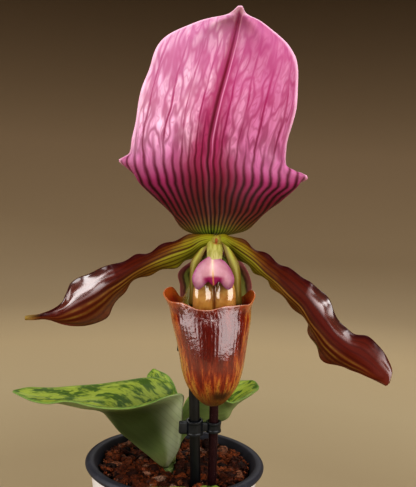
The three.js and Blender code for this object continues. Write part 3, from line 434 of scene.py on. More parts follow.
class Shape:
    """Corners, faces and corner values of a mesh in the making, in millimetres."""

    def __init__(self) -> None:
        """Starts with nothing."""
        self.corners: list[np.ndarray] = []
        self.faces: list[tuple[int, ...]] = []
        self.values: dict[str, list[np.ndarray]] = {}
        self.finish_of: list[int] = []
        self.count = 0

    def add(self, corners: np.ndarray, faces: Any, finish: int = 0, **values: Any) -> "Shape":
        """Adds one closed body, turned so that its faces point outwards.

        Args:
            corners: its points.
            faces: lists of corner numbers, counted from its own first corner.
            finish: which of the object's materials it wears.
            values: attributes, each a number or one for each corner.

        Returns:
            This shape.
        """
        corners = np.asarray(corners, float).reshape(-1, 3)
        faces = [tuple(int(k) for k in f) for f in faces]
        volume = 0.0
        for size in {len(f) for f in faces}:
            group = np.array([f for f in faces if len(f) == size])
            for k in range(1, size - 1):
                second, third = corners[group[:, k]], corners[group[:, k + 1]]
                volume += np.sum(corners[group[:, 0]] * np.cross(second, third))
        turned = [f[::-1] for f in faces] if volume < 0 else faces
        self.faces += [tuple(k + self.count for k in f) for f in turned]
        self.finish_of += [finish] * len(faces)
        for name in sorted({*self.values, *values}):
            held = self.values.setdefault(name, [np.zeros(self.count)] if self.count else [])
            value = np.asarray(values.get(name, 0.0), float)
            held.append(np.broadcast_to(value.reshape(-1) if value.ndim else value, (len(corners),)))
        self.corners.append(corners)
        self.count += len(corners)
        return self

    def build(self, name: str, finishes: Sequence[bpy.types.Material]) -> bpy.types.Object:
        """Makes the object at the origin, in metres.

        Args:
            name: the object's name.
            finishes: its materials, in the order that add() numbers them.

        Returns:
            The new object.
        """
        mesh = bpy.data.meshes.new(name)
        mesh.from_pydata((np.concatenate(self.corners) * MM).tolist(), [], self.faces)
        for material in finishes:
            mesh.materials.append(material)
        mesh.polygons.foreach_set("material_index", self.finish_of)
        for key, parts in self.values.items():
            layer = mesh.attributes.new(key, "FLOAT", "POINT")
            layer.data.foreach_set("value", np.concatenate(parts).astype(np.float32))
        mesh.shade_smooth()
        work = bmesh.new()
        work.from_mesh(mesh)
        bmesh.ops.remove_doubles(work, verts=work.verts, dist=1e-7)
        work.to_mesh(mesh)
        work.free()
        obj = bpy.data.objects.new(name, mesh)
        bpy.context.scene.collection.objects.link(obj)
        return obj


def turned_body(profile: Any, segments: int) -> tuple[np.ndarray, np.ndarray]:
    """A body turned round the Z axis.

    Args:
        profile: [radius, height] points, from the axis back to the axis or closed on itself.
        segments: how many steps go round.

    Returns:
        Its corners and its faces.
    """
    profile = np.asarray(profile, float)
    turn = turns(segments)
    x = profile[:, :1] * np.cos(turn)
    y = profile[:, :1] * np.sin(turn)
    z = np.repeat(profile[:, 1:], segments, axis=1)
    return np.stack([x, y, z], -1), ring_faces(len(profile), segments)


def rounded(profile: Any, radius: float, steps: int = 6) -> np.ndarray:
    """The profile with each inner corner turned into a soft arc.

    Args:
        profile: [radius, height] points.
        radius: how far from the corner the arc starts, in millimetres.
        steps: points in each arc.

    Returns:
        The rounded profile's points.
    """
    points = np.asarray(profile, float)
    out = [points[0]]
    share = np.linspace(0, 1, steps)[:, None]
    for before, corner, after in zip(points, points[1:], points[2:]):
        back, ahead = before - corner, after - corner
        lengths = np.linalg.norm(back), np.linalg.norm(ahead)
        cut = min(radius, 0.45 * lengths[0], 0.45 * lengths[1])
        start, end = corner + back / lengths[0] * cut, corner + ahead / lengths[1] * cut
        out += list((1 - share) ** 2 * start + 2 * share * (1 - share) * corner + share**2 * end)
    return np.array(out + [points[-1]])


def heading(route: Any, shares: np.ndarray) -> np.ndarray:
    """Which way a route runs at each share of it."""
    step = 1e-3
    return unit(curve_points(route, shares + step) - curve_points(route, shares - step))


def square_to(ahead: np.ndarray) -> tuple[np.ndarray, np.ndarray]:
    """Two directions square to a route's own and to each other, the first as near +X as it goes."""
    sideways = unit(np.array([1.0, 0, 0]) - ahead * ahead[..., :1])
    return sideways, np.cross(ahead, sideways)


def swept(middle: np.ndarray, ahead: np.ndarray, reach: np.ndarray) -> tuple[np.ndarray, list[Any]]:
    """A body of rings along a route, with flat ends.

    Args:
        middle: each ring's middle.
        ahead: which way the route runs, the same for all or one for each ring.
        reach: the radius for each ring and each turn round it.

    Returns:
        Its corners and its faces.
    """
    rings, sides = reach.shape
    turn = turns(sides)[:, None]
    sideways, upward = (v[..., None, :] for v in square_to(ahead))
    corners = middle[:, None] + reach[..., None] * (np.cos(turn) * sideways + np.sin(turn) * upward)
    return corners.reshape(-1, 3), capped_faces(rings, sides)


def tube(
    route: Any, radii: np.ndarray, sides: int, ribs: int = 0, rib_depth: Any = 0.0
) -> tuple[np.ndarray, list[Any], np.ndarray, np.ndarray]:
    """A stem along a curve, with flat ends.

    Args:
        route: the points that its middle passes through.
        radii: its radius at each step along it.
        sides: corners round it.
        ribs: how many ribs run along it.
        rib_depth: their depth as a share of the radius, one or one for each step.

    Returns:
        Its corners, its faces, and each corner's share along and turn round.
    """
    share, turn = np.linspace(0, 1, len(radii)), turns(sides)
    reach = radii[:, None] * (1 + np.reshape(rib_depth, (-1, 1)) * np.cos(ribs * turn))
    corners, faces = swept(curve_points(route, share), heading(route, share), reach)
    return corners, faces, np.repeat(share, sides), np.tile(turn, len(radii))


# ---- node trees


def linear(code: str) -> tuple[float, float, float, float]:
    """An sRGB hex colour as linear red, green, blue and alpha."""
    parts = [int(code[k : k + 2], 16) / 255 for k in (0, 2, 4)]
    red, green, blue = (c / 12.92 if c <= 0.04045 else ((c + 0.055) / 1.055) ** 2.4 for c in parts)
    return red, green, blue, 1.0


def per_metre(size_mm: float) -> float:
    """A pattern's scale for features of that size."""
    return 1 / (size_mm * MM)


def add_node(
    tree: Any, kind: str, *values: Any, links: dict[str, Any] | None = None, out: Any = 0,
    stops: Sequence[tuple[float, Any]] = (), **settings: Any,
) -> Any:
    """Adds a node with its settings and links.

    Args:
        tree: the node tree.
        kind: the node's type. ShaderNode may be left off its start.
        values: for its inputs in order, a value, a hex colour or another node's output.
        links: the same for inputs by name.
        out: the output to return, by its name or its place among those in use.
        stops: a colour ramp's pairs of a place and a hex colour or a grey value.
        settings: the node's own properties.

    Returns:
        The output asked for, or the node itself where out is None.
    """
    node = tree.nodes.new(kind if "Node" in kind else "ShaderNode" + kind)
    for name, value in settings.items():
        setattr(node, name, value)
    if stops:
        ramp = node.color_ramp
        while len(ramp.elements) < len(stops):
            ramp.elements.new(1.0)
        for element, (place, code) in zip(ramp.elements, stops):
            element.position = place
            element.color = linear(code) if isinstance(code, str) else (code, code, code, 1.0)
    given = list(zip([socket for socket in node.inputs if socket.enabled], values))
    given += [(node.inputs[name], value) for name, value in (links or {}).items()]
    for socket, value in given:
        if isinstance(value, bpy.types.NodeSocket):
            tree.links.new(value, socket)
        elif isinstance(value, str) and socket.type == "RGBA":
            socket.default_value = linear(value)
        else:
            socket.default_value = value
    if out is None:
        return node
    return node.outputs[out] if isinstance(out, str) else [s for s in node.outputs if s.enabled][out]


# settings that many nodes share
SMOOTH = {"interpolation_type": "SMOOTHSTEP"}
MIX = {"data_type": "RGBA"}
TIMES_PLUS = {"operation": "MULTIPLY_ADD"}
TIMES = {"operation": "MULTIPLY"}
MINUS = {"operation": "SUBTRACT"}
MAGNITUDE = {"operation": "ABSOLUTE"}
FOLDED = {"operation": "PINGPONG"}
LARGER = {"operation": "MAXIMUM"}
FLESH_DEPTH = 0.001  # metres that light goes into living tissue


def surface_values(node: Any, *names: str) -> list[Any]:
    """A point's place on the object, then the surface's attributes of those names."""
    values = [node("Attribute", out="Fac", attribute_name=name) for name in names]
    return [node("TexCoord", out="Object"), *values]


def product(node: Any, *factors: Any) -> Any:
    """The product of some shares.

    Args:
        node: adds a node to the tree.
        factors: outputs or numbers. A tuple is a soft step: the value, where it starts and
            ends, and the shares there if they aren't 0 and 1.

    Returns:
        Their product's output.
    """
    total = None
    for factor in factors:
        share = node("MapRange", *factor, **SMOOTH) if isinstance(factor, tuple) else factor
        total = share if total is None else node("Math", total, share, **TIMES)
    return total


def painted(node: Any, colour: Any, *layers: tuple[Any, Any]) -> Any:
    """A colour with inks laid over it.

    Args:
        node: adds a node to the tree.
        colour: what lies below.
        layers: each ink's share, which may be a soft step as in product(), and its colour.

    Returns:
        The colour's output.
    """
    for share, ink in layers:
        colour = node("Mix", product(node, share), colour, ink, **MIX)
    return colour


def near(node: Any, value: Any, middle: float, inner: float, outer: float, top: float = 1) -> Any:
    """A share that fades round a value, from top within inner of it to 0 beyond outer."""
    off = node("Math", node("Math", value, middle, **MINUS), **MAGNITUDE)
    return node("MapRange", off, inner, outer, top, 0, **SMOOTH)


def pattern_place(node: Any, *scaled: tuple[Any, float]) -> Any:
    """A place on a pattern, from values of the surface with their scales."""
    return node("CombineXYZ", *(node("Math", value, scale, **TIMES) for value, scale in scaled))


def surface(
    node: Any, colour: Any, rough: Any, ior: float, relief: tuple[Any, float, float] | None = None,
    flesh: tuple[float, Any] | None = None, coat: tuple[Any, float, float] | None = None,
    depth: float = FLESH_DEPTH,
) -> Any:
    """A surface's shader, with its fine relief.

    Args:
        node: adds a node to the tree.
        colour: its base colour.
        rough: its roughness.
        ior: its index of refraction.
        relief: the relief's height, strength and depth in metres.
        flesh: the weight of the light that goes through it, and the share for each colour.
        coat: the weight, roughness and index of the wax over the relief.
        depth: metres that the light goes into it.

    Returns:
        The shader's output.
    """
    links = {"Base Color": colour, "Roughness": rough, "IOR": ior}
    if relief:
        names = ("Height", "Strength", "Distance")
        links["Normal"] = node("Bump", links=dict(zip(names, relief)))
    if coat:
        names = ("Coat Weight", "Coat Roughness", "Coat IOR", "Coat Normal")
        links |= zip(names, (*coat, links["Normal"]))
    if flesh:
        names = ("Subsurface Weight", "Subsurface Radius", "Subsurface Scale")
        links |= zip(names, (*flesh, depth))
    return node("BsdfPrincipled", links=links)


class Finish:
    """A surface finish. Each kind paints its own material."""

    label = "finish"

    def build(self) -> bpy.types.Material:
        """Makes the material and its nodes."""
        material = bpy.data.materials.new(self.label)
        material.use_nodes = True
        tree = material.node_tree
        tree.nodes.clear()
        add_node(tree, "OutputMaterial", self.paint(functools.partial(add_node, tree)), out=None)
        return material

    def paint(self, node: Any) -> Any:
        """Adds its nodes and returns the shader's output."""
        raise NotImplementedError


@dataclass(frozen=True)
class SepalTissue(Finish):
    """The dorsal sepal: satin pink with crimson veins, from a green base with near-black stripes.

    Living tissue with a velvety skin, so it has colour in the light and hardly any gloss.
    """

    label: str = "Sepal tissue, satin pink"
    blotch_mm: float = 6.0
    fray_mm: float = 1.6  # size of the breaks in the veins' edges

    def paint(self, node: Any) -> Any:
        """The shader's output."""
        place, across, along, line, margin, middle, run, face = surface_values(
            node, "across", "along", "line", "margin_mm", "middle_mm", "run_mm", "face")
        side = node("Math", across, **MAGNITUDE)
        flat = node("CombineXYZ", middle, node("Math", run, 0.45, **TIMES))
        clouds, fray = (node("TexNoise", flat, 1 / size, 3, 0.55) for size in (self.blotch_mm, self.fray_mm))
        # ground colour from the base up, in the heart and towards the margins
        heart = node("ValToRGB", along, stops=[
            (0, "92A83A"), (0.04, "788A32"), (0.075, "604C22"), (0.12, "54281A"), (0.18, "561E1A"),
            (0.28, "6E2234"), (0.42, "9A4264"), (0.6, "C486A6"), (0.85, "C490AC"), (1, "CCA2B8")])
        outer = node("ValToRGB", along, stops=[
            (0, "7C8A30"), (0.04, "6E5C2A"), (0.09, "60301E"), (0.16, "6C1C30"), (0.26, "8E3460"),
            (0.36, "B8709A"), (0.5, "DCACC8"), (0.7, "D0A6C0"), (0.85, "C292AE"), (1, "C090AA")])
        # whitish patches above, and painted shade there: a deeper pink that is strongest on the right
        above = node("MapRange", along, 0.28, 0.5, **SMOOTH)
        light = product(node, (clouds, 0.4, 0.66, 0, 0.5), above)
        right = product(node, (across, -0.15, 0.45, 0.06, 0.72), above)
        # crimson bands beside the midrib
        off_rib = node("Math", middle, **MAGNITUDE)
        band_mm = node("ValToRGB", along, stops=[(0.1, 0.2), (0.35, 0.9), (0.6, 0.7), (1, 0.12)])
        band_mm = node("Math", band_mm, 8, **TIMES)
        band = product(node, (off_rib, 0.4, band_mm, 0.85, 0), (along, 0.2, 0.4))
        ground = painted(
            node, heart, ((side, 0.08, 0.5), outer), (light, "EAD0DE"), (right, "A84C7C"), (band, "8C1A4E"))
        # veins: all dark and sharp below, every second one wide and soft above
        frayed = node("Math", fray, 0.24, -0.12, **TIMES_PLUS)
        wander = node("Math", line, frayed, operation="ADD")
        off_line, off_second = (node("Math", wander, spacing, **FOLDED) for spacing in (0.5, 1))
        width = node("ValToRGB", along, stops=[
            (0, 0.36), (0.1, 0.46), (0.18, 0.46), (0.3, 0.38), (0.45, 0.3), (1, 0.3)])
        strength = node("ValToRGB", along, stops=[
            (0, 0.3), (0.05, 0.9), (0.26, 1), (0.36, 0.72), (0.5, 0.2), (1, 0.08)])
        heart_up = product(node, (along, 0.42, 0.72, 1, 0), (side, 0.1, 0.42, 1, 0))
        strength = node("Math", strength, heart_up, **LARGER)
        vein = product(node, (off_line, 0, width, 1, 0), strength)
        soft_where = node("ValToRGB", along, stops=[
            (0.2, 0), (0.34, 0.85), (0.6, 0.95), (0.85, 0.65), (1, 0.1)])
        soft = product(node, (off_second, 0.03, 0.24, 1, 0), (clouds, 0.4, 0.66, 1, 0.75), soft_where)
        # a soft net between them: noise contours, drawn out up and outwards
        lean = node("Math", off_rib, -0.8, run, **TIMES_PLUS)
        net = 0
        for wide, long, share in ((3.4, 11, 0.66), (2, 4.5, 0.36)):
            hills = node("TexNoise", pattern_place(node, (middle, 1 / wide), (lean, 1 / long)), 1, 1.2)
            net = node("Math", near(node, hills, 0.5, 0, 0.115, share), net, **LARGER)
        net = product(node, net, (along, 0.28, 0.44))
        drawn = vein
        for other in (soft, net):
            drawn = node("Math", drawn, other, **LARGER)
        ink = node("ValToRGB", along, stops=[
            (0, "56701E"), (0.04, "3A4414"), (0.075, "1E1206"), (0.17, "220706"), (0.24, "380812"),
            (0.34, "540A22"), (0.45, "700E3C"), (0.6, "901E58"), (0.8, "9E3870"), (1, "A86890")])
        # the midrib's dark groove, and a painted highlight: the pale ridge on its right
        painted_ridge_highlight = product(node, near(node, middle, 1.25, 0.05, 0.35, 0.5), above)
        groove_mm = node("ValToRGB", along, stops=[(0, 0.35), (0.3, 0.5), (0.6, 1), (0.85, 0.5), (1, 0.2)])
        groove_ink = node("ValToRGB", along, stops=[
            (0, "4A6A1E"), (0.08, "2A1206"), (0.3, "44061A"), (0.5, "5E0426"), (0.75, "720A34"),
            (1, "9A4A74")])
        # the margin: red-brown below the corners, whitish above them, where it is a painted highlight along
        # the edge
        rim_ink_and_highlight = node("ValToRGB", along, stops=[
            (0, "745428"), (0.1, "7C3A2C"), (0.2, "94485E"), (0.34, "D8A4C0"), (0.6, "E4BCD2")])
        colour = painted(
            node, ground, (drawn, ink), (painted_ridge_highlight, "D8A0BE"), ((off_rib, 0.15, groove_mm, 1, 0), groove_ink),
            ((margin, 0.3, 2, 0.75, 0), rim_ink_and_highlight))
        behind = painted(node, colour, (0.45, "98808C"))
        skin = node("TexNoise", place, per_metre(0.35), 2)
        relief = node("Math", drawn, -0.6, skin, **TIMES_PLUS)
        return surface(
            node, painted(node, behind, (face, colour)), 0.5, 1.3, (relief, 0.3, 0.00012),
            flesh=(0.1, (1, 0.35, 0.5)))


@dataclass(frozen=True)
class PetalTissue(Finish):
    """A petal: varnished maroon-brown with olive stripes, green towards its base.

    A thick waxy skin over living tissue, so clear highlights lie over the dark upper wing.
    """

    label: str = "Petal tissue, varnished maroon"
    tip: str = "8A743A"
    tip_start: float = 0.93
    wax: tuple[tuple[float, float], ...] = ((0.52, 0.0), (0.6, 1.0), (0.78, 1.0), (0.88, 0.12))
    wax_edge: tuple[float, float] = (-0.34, -0.04)  # where it thins out below, across the petal

    def paint(self, node: Any) -> Any:
        """The shader's output."""
        place, across, along, line, margin, face = surface_values(
            node, "across", "along", "line", "margin_mm", "face")
        cloud = node("TexNoise", place, per_metre(6), 3)
        # how far the maroon has come: sooner along the upper margin, last below the midrib
        reach = node("Math", cloud, 0.16, along, **TIMES_PLUS)
        above = node("Math", across, -0.16, reach, **TIMES_PLUS)
        upper = node("ValToRGB", above, stops=[
            (0.12, "7E821E"), (0.28, "786A1A"), (0.38, "623E10"), (0.5, "481A06"), (0.75, "4E150A"),
            (1, "521A0E")])
        lower = node("ValToRGB", reach, stops=[
            (0.12, "8A8C2C"), (0.34, "847C28"), (0.46, "74561E"), (0.58, "603A14"), (0.8, "5C2A12"),
            (1, "5E2A14")])
        # dark veins, with olive stripes between them below the midrib
        off_line = node("Math", line, 0.5, **FOLDED)
        vein_share = node("ValToRGB", along, stops=[
            (0, 0.25), (0.12, 0.55), (0.3, 0.75), (0.5, 0.6), (0.85, 0.45), (1, 0.1)])
        vein = product(node, (off_line, 0.02, 0.26, 1, 0), vein_share)
        olive_where = node("ValToRGB", along, stops=[(0.32, 0.1), (0.5, 0.8), (0.8, 0.7), (0.95, 0.1)])
        olive = product(
            node, near(node, across, 0.3, 0.05, 0.5, 0.85), olive_where, (off_line, 0.2, 0.44),
            (cloud, 0.36, 0.6, 0.35, 1))
        # near-black upper margin, from a little way out of the base, and the midrib's crease
        is_upper = node("Math", across, -0.2, operation="LESS_THAN")
        rim_where = node("MapRange", along, 0.04, 0.2, 0.15, 1)
        rim = product(node, (margin, 0.3, 2.4, 0.92, 0), is_upper, rim_where)
        side = node("Math", across, **MAGNITUDE)
        crease_where = node("ValToRGB", along, stops=[(0.02, 0.2), (0.1, 1), (0.5, 0.9), (0.8, 0.2)])
        crease = product(node, (side, 0.02, 0.13, 0.8, 0), crease_where)
        tip = node("MapRange", along, self.tip_start, 1, 0, 0.9)
        colour = painted(
            node, upper, ((across, -0.12, 0.16), lower), (vein, "38100A"), (olive, "866E34"),
            (crease, "3C1608"), (rim, "34060A"), (tip, self.tip))
        behind = painted(node, colour, (0.4, "645830"))
        # the wax lies on the upper wing's outer half, thinner on the lower one
        upper_wax = node("MapRange", across, *self.wax_edge, 1, 0, **SMOOTH)
        lower_wax = node("MapRange", across, 0.4, 0.8, 0, 0.6, **SMOOTH)
        waxed = node("Math", upper_wax, lower_wax, **LARGER)
        waxed = product(node, waxed, node("ValToRGB", along, stops=self.wax))
        skin = node("TexNoise", place, per_metre(0.9), 3)
        relief = node("Math", vein, -0.3, skin, **TIMES_PLUS)
        return surface(
            node, painted(node, behind, (face, colour)), 0.5, 1.2, (relief, 0.08, 0.00014),
            flesh=(0.04, (1, 0.4, 0.2)), coat=(waxed, 0.2, 2.1))


@dataclass(frozen=True)
class PouchTissue(Finish):
    """The pouch: lacquered maroon-red over ochre, with fine streaks and specks down it.

    The thickest wax on the plant, so it mirrors the lights in broad patches with ragged edges.
    """

    label: str = "Pouch tissue, lacquered maroon"
    streak_scale: float = 17.0  # streaks round half the pouch
    speck_mm: float = 0.8

    def paint(self, node: Any) -> Any:
        """The shader's output."""
        place, turn, height, rim, face = surface_values(node, "across", "along", "margin_mm", "face")
        side = node("Math", turn, **MAGNITUDE)
        # streaks and threads: noise stretched down the pouch
        streaks, threads = (
            node("TexNoise", pattern_place(node, (turn, width), (height, length)), 1, 4, 0.6)
            for width, length in ((self.streak_scale, 4), (3.4 * self.streak_scale, 14)))
        # where the maroon lies: all over the front, broken up at the sides and towards the toe
        by_height = node("ValToRGB", height, stops=[
            (0, 0.3), (0.25, 0.38), (0.42, 0.52), (0.55, 0.72), (0.68, 0.95), (0.9, 1), (1, 0.8)])
        by_side = node("ValToRGB", side, stops=[(0, 1), (0.2, 0.92), (0.3, 0.66), (0.42, 0.4), (0.6, 0.45)])
        lie = node("Math", streaks, 1.4, product(node, by_height, by_side), **TIMES_PLUS)
        maroon = node("MapRange", lie, 0.92, 1.62, **SMOOTH)
        ground = node("ValToRGB", maroon, stops=[
            (0, "AE8036"), (0.22, "A46028"), (0.42, "8E3C16"), (0.66, "701E0A"), (1, "500C05")])
        # dark threads in the ochre, and specks most of all at the sides
        thread = (threads, 0.5, 0.64, 0, 0.75)
        speck = (node("TexVoronoi", place, per_metre(self.speck_mm)), 0.12, 0.36, 0.8, 0)
        # painted shade: a brown crease under the toe, to the right, where its fold lies in shadow
        to_right, under_toe = near(node, turn, 0.13, 0.05, 0.22), near(node, height, 0.29, 0.01, 0.09)
        crease = product(node, 0.95, to_right, under_toe)
        # warmer towards the rim, with a painted highlight: a lighter line on its edge
        edge = product(node, (rim, 0, 2.6, 0.7, 0), node("MapRange", side, 0.15, 0.42, 0.1, 1))
        line = node("MapRange", rim, 0.05, 0.3, 0.55, 0)
        claw = node("MapRange", side, 0.6, 0.78, **SMOOTH)
        claw_out = product(node, claw, (height, 0.72, 0.95))
        outside = painted(
            node, ground, (thread, "641A0A"), (speck, "5E1408"), (crease, "2C1404"), (edge, "A8581F"),
            (line, "B07A5A"), (claw_out, "80783A"), ((height, 0.1, 0.5, 0.85, 0), "4A2E08"))
        inside = node("Mix", streaks, "480A04", "84260E", **MIX)
        inside = painted(node, inside, ((rim, 1, 4.5, 0.8, 0), "96501E"), (claw, "7E7630"))
        wrinkle = node("TexNoise", place, per_metre(1.3), 4)
        relief = node("Math", threads, 0.4, wrinkle, **TIMES_PLUS)
        relief = product(node, relief, (rim, 1.5, 6, 2.4, 1))
        # the wax is thin inside and towards the toe
        wax = node("ValToRGB", height, stops=[(0.2, 0.06), (0.42, 0.4), (0.54, 1)])
        wax = product(node, wax, node("MapRange", face, 0, 1, 0.25, 1))
        return surface(
            node, painted(node, inside, (face, outside)), 0.5, 1.2, (relief, 0.5, 0.00024),
            flesh=(0.05, (1, 0.3, 0.12)), coat=(wax, 0.12, 1.9))


@dataclass(frozen=True)
class LobeTissue(Finish):
    """The lip's infolded side lobes: ochre, polished like glazed pottery, with a brown fold.

    The glaze-like wax turns each rounded lobe's sides into long white streaks.
    """

    label: str = "Side lobe tissue, polished ochre"
    warts_mm: float = 0.7

    def paint(self, node: Any) -> Any:
        """The shader's output."""
        place, fold, height = surface_values(node, "across", "along")
        colour = node("ValToRGB", height, stops=[
            (0, "A8702E"), (0.35, "BC8A46"), (0.7, "C0985A"), (1, "B8A260")])
        mottle = node("TexNoise", place, per_metre(1.8), 3)
        mottled = node("MapRange", mottle, 0.4, 0.7, 0, 0.6)
        colour = painted(node, colour, ((fold, 0, 0.5, 0.9, 0), "74401A"), (mottled, "8E501C"))
        warts = node("TexNoise", place, per_metre(self.warts_mm), 1)
        return surface(
            node, colour, 0.35, 1.3, (warts, 0.2, 0.0001), flesh=(0.1, (1, 0.5, 0.15)), coat=(1, 0.08, 2.1))


@dataclass(frozen=True)
class ShieldTissue(Finish):
    """The column's shield: waxy pink, whitish down its middle, magenta at edge and notch."""

    label: str = "Shield tissue, waxy pink"

    def paint(self, node: Any) -> Any:
        """The shader's output."""
        place, across, along, margin = surface_values(node, "across", "along", "margin_mm")
        side = node("Math", across, **MAGNITUDE)
        colour = node("ValToRGB", side, stops=[
            (0, "CCBEA2"), (0.07, "C2A29C"), (0.2, "AE828A"), (0.6, "A47480"), (1, "945C76")])
        cloud = node("MapRange", node("TexNoise", place, per_metre(2.4), 3), 0.4, 0.7, 0, 0.5)
        # the magenta band over the notches, shaped like a low M
        low = node("Math", node("Math", side, 0.28, **MINUS), **MAGNITUDE)
        low = node("Math", low, 0.3, along, **TIMES_PLUS)
        notch = product(node, (low, 0.72, 0.84), (side, 0.3, 0.55, 1, 0))
        ochre = product(node, (along, 0.45, 0.66, 0, 0.8), node("MapRange", side, 0, 0.05, 0.9, 0))
        colour = painted(
            node, colour, (cloud, "BC94A0"), ((margin, 0.1, 1.2, 0.45, 0), "96427A"), (notch, "8A2256"),
            (ochre, "C09040"))
        fine = node("TexNoise", place, per_metre(0.4), 2)
        return surface(node, colour, 0.42, 1.4, (fine, 0.25, 0.00008), flesh=(0.15, (1, 0.5, 0.5)))


@dataclass(frozen=True)
class ColumnTissue(Finish):
    """The column's body: pale yellow-green, with a red-brown boss at its top, all satin."""

    label: str = "Column tissue, pale green"

    def paint(self, node: Any) -> Any:
        """The shader's output."""
        place, along, boss = surface_values(node, "along", "margin_mm")
        colour = node("ValToRGB", along, stops=[
            (0, "847E30"), (0.3, "908A3E"), (0.6, "9C9856"), (1, "A89E72")])
        drawn_out = node("VectorMath", place, (1, 0.3, 0.25), **TIMES)
        streak = node("TexNoise", drawn_out, per_metre(0.7), 2)
        streak = node("MapRange", streak, 0.42, 0.62, 0, 0.75)
        colour = painted(node, colour, (streak, "7E7A2E"), ((boss, 0.1, 1, 0.9, 0), "84401C"))
        return surface(node, colour, 0.5, 1.35, flesh=(0.15, (0.8, 0.8, 0.3)))


@dataclass(frozen=True)
class GreenSepalTissue(Finish):
    """The lower sepal, the claw and the bract: satin green with dark veins and a tinted edge."""

    label: str = "Green sepal tissue, satin"
    veins: float = 5.0
    ground: str = "8E9C52"
    ink: str = "343E14"
    edge: str = "8C3C54"
    tip: str = "C4B694"

    def paint(self, node: Any) -> Any:
        """The shader's output."""
        place, across, along, margin = surface_values(node, "across", "along", "margin_mm")
        wander = node("TexNoise", place, per_metre(6), 2)
        lines = node("Math", across, self.veins, wander, **TIMES_PLUS)
        vein = node("MapRange", node("Math", lines, 0.5, **FOLDED), 0.04, 0.34, 0.9, 0, **SMOOTH)
        pale = node("MapRange", along, 0.2, 0.8, 0, 0.7)
        colour = painted(
            node, self.ground, (pale, self.tip), (vein, self.ink), ((margin, 0.3, 2.6, 0.85, 0), self.edge))
        return surface(node, colour, 0.42, 1.4, (vein, 0.3, 0.0001), flesh=(0.1, (0.8, 0.8, 0.3)))


@dataclass(frozen=True)
class LeafTissue(Finish):
    """A leaf: satin, dark green bars chequered on yellow-green above, plain grey-green below.

    The chequers lie between lengthwise veins, so their grid follows the blade.
    """

    label: str = "Leaf tissue, satin mottled"
    bar_mm: float = 5.6  # length of a chequer along the leaf
    lane_mm: float = 3.2  # width of a lane between two veins
    painted_shadow: float = 0.0  # strength of the painted shadow below, beside the keel
    pale: float = 0.0  # strength of the pale band of painted light below, along the first margin

    def paint(self, node: Any) -> Any:
        """The shader's output."""
        place, across, along, margin, middle, run, face = surface_values(
            node, "across", "along", "margin_mm", "middle_mm", "run_mm", "face")
        # slanting bars, broken into lanes
        slant = node("Math", middle, 0.5, run, **TIMES_PLUS)
        bars_at = pattern_place(node, (slant, 1 / self.bar_mm), (middle, 1 / self.lane_mm))
        bend = node("TexNoise", bars_at, 0.7, 2, out="Color")
        bend = node("VectorMath", bend, (0.5, 0.5, 0.5), **MINUS)
        bend = node("VectorMath", bend, 1.5, operation="SCALE")
        bars_at = node("VectorMath", bars_at, bend, operation="ADD")
        patches = node("TexNoise", bars_at, 0.8, 3, 0.65)
        lane = node("Math", product(node, middle, 1 / self.lane_mm), 0.5, **FOLDED)
        lane = node("MapRange", lane, 0, 0.12, 0.2, 0)
        deep = node("Mix", patches, "3E6020", "2A4616", **MIX)
        above = painted(
            node, "7C8C30", (patches, "A4B054"), ((patches, 0.43, 0.6, 0, 0.9), deep), (lane, "52702C"),
            ((margin, 0.2, 1.6, 0.7, 0), "64803A"))
        # below: clouded grey-green, paler at the base, with a painted shadow beside the keel
        cloud = node("TexNoise", place, per_metre(14), 3)
        # painted light: a pale band along the first margin, where the underside is lit
        band = product(node, (across, -0.75, -0.55, self.pale, 0), (along, 0.28, 0.46, 1, 0))
        base = node("MapRange", along, 0, 0.14, 0.6, 0)
        beside = node("Math", across, 0.42, operation="ADD")
        up = node("Math", along, 0.34, **MINUS)
        off = node("Math", product(node, up, up), 5, product(node, beside, beside), **TIMES_PLUS)
        below = painted(
            node, "6A7C48", (cloud, "98A872"), (band, "C0CAAC"), (lane, "5C6E3E"), (base, "8A8458"),
            ((off, 0.04, 0.3, self.painted_shadow, 0), "2A3312"))
        skin = node("TexNoise", place, per_metre(0.8), 2)
        return surface(
            node, painted(node, below, (face, above)), 0.45, 1.4, (skin, 0.25, 0.0001),
            flesh=(0.1, (0.5, 0.9, 0.2)), depth=0.0012)


@dataclass(frozen=True)
class StemTissue(Finish):
    """The stem or the ovary: dark maroon skin that fades to green along the grooves, downy."""

    label: str = "Stem tissue, downy maroon"
    skin: str = "28080E"
    other: str = "3A1A1A"
    ribs: float = 0.0

    def paint(self, node: Any) -> Any:
        """The shader's output."""
        place, turn = surface_values(node, "across")
        mottle = node("TexNoise", place, per_metre(2.5), 4)
        groove = node("Math", product(node, turn, self.ribs), operation="COSINE")
        mix = node("Math", groove, -0.3, mottle, **TIMES_PLUS)
        colour = node("Mix", node("MapRange", mix, 0.25, 0.75), self.skin, self.other, **MIX)
        return surface(node, colour, 0.5, 1.35, (mottle, 0.3, 0.0001))


@dataclass(frozen=True)
class Down(Finish):
    """Fine plant hairs: matt, darker where they bunch and pale where the light catches them."""

    label: str = "Plant down, maroon"
    tint: str = "5A3230"
    lit: str = "94766A"

    def paint(self, node: Any) -> Any:
        """The shader's output."""
        vary = node("TexNoise", node("TexCoord", out="Object"), per_metre(2))
        return surface(node, painted(node, self.tint, (vary, self.lit)), 0.6, 1.35)


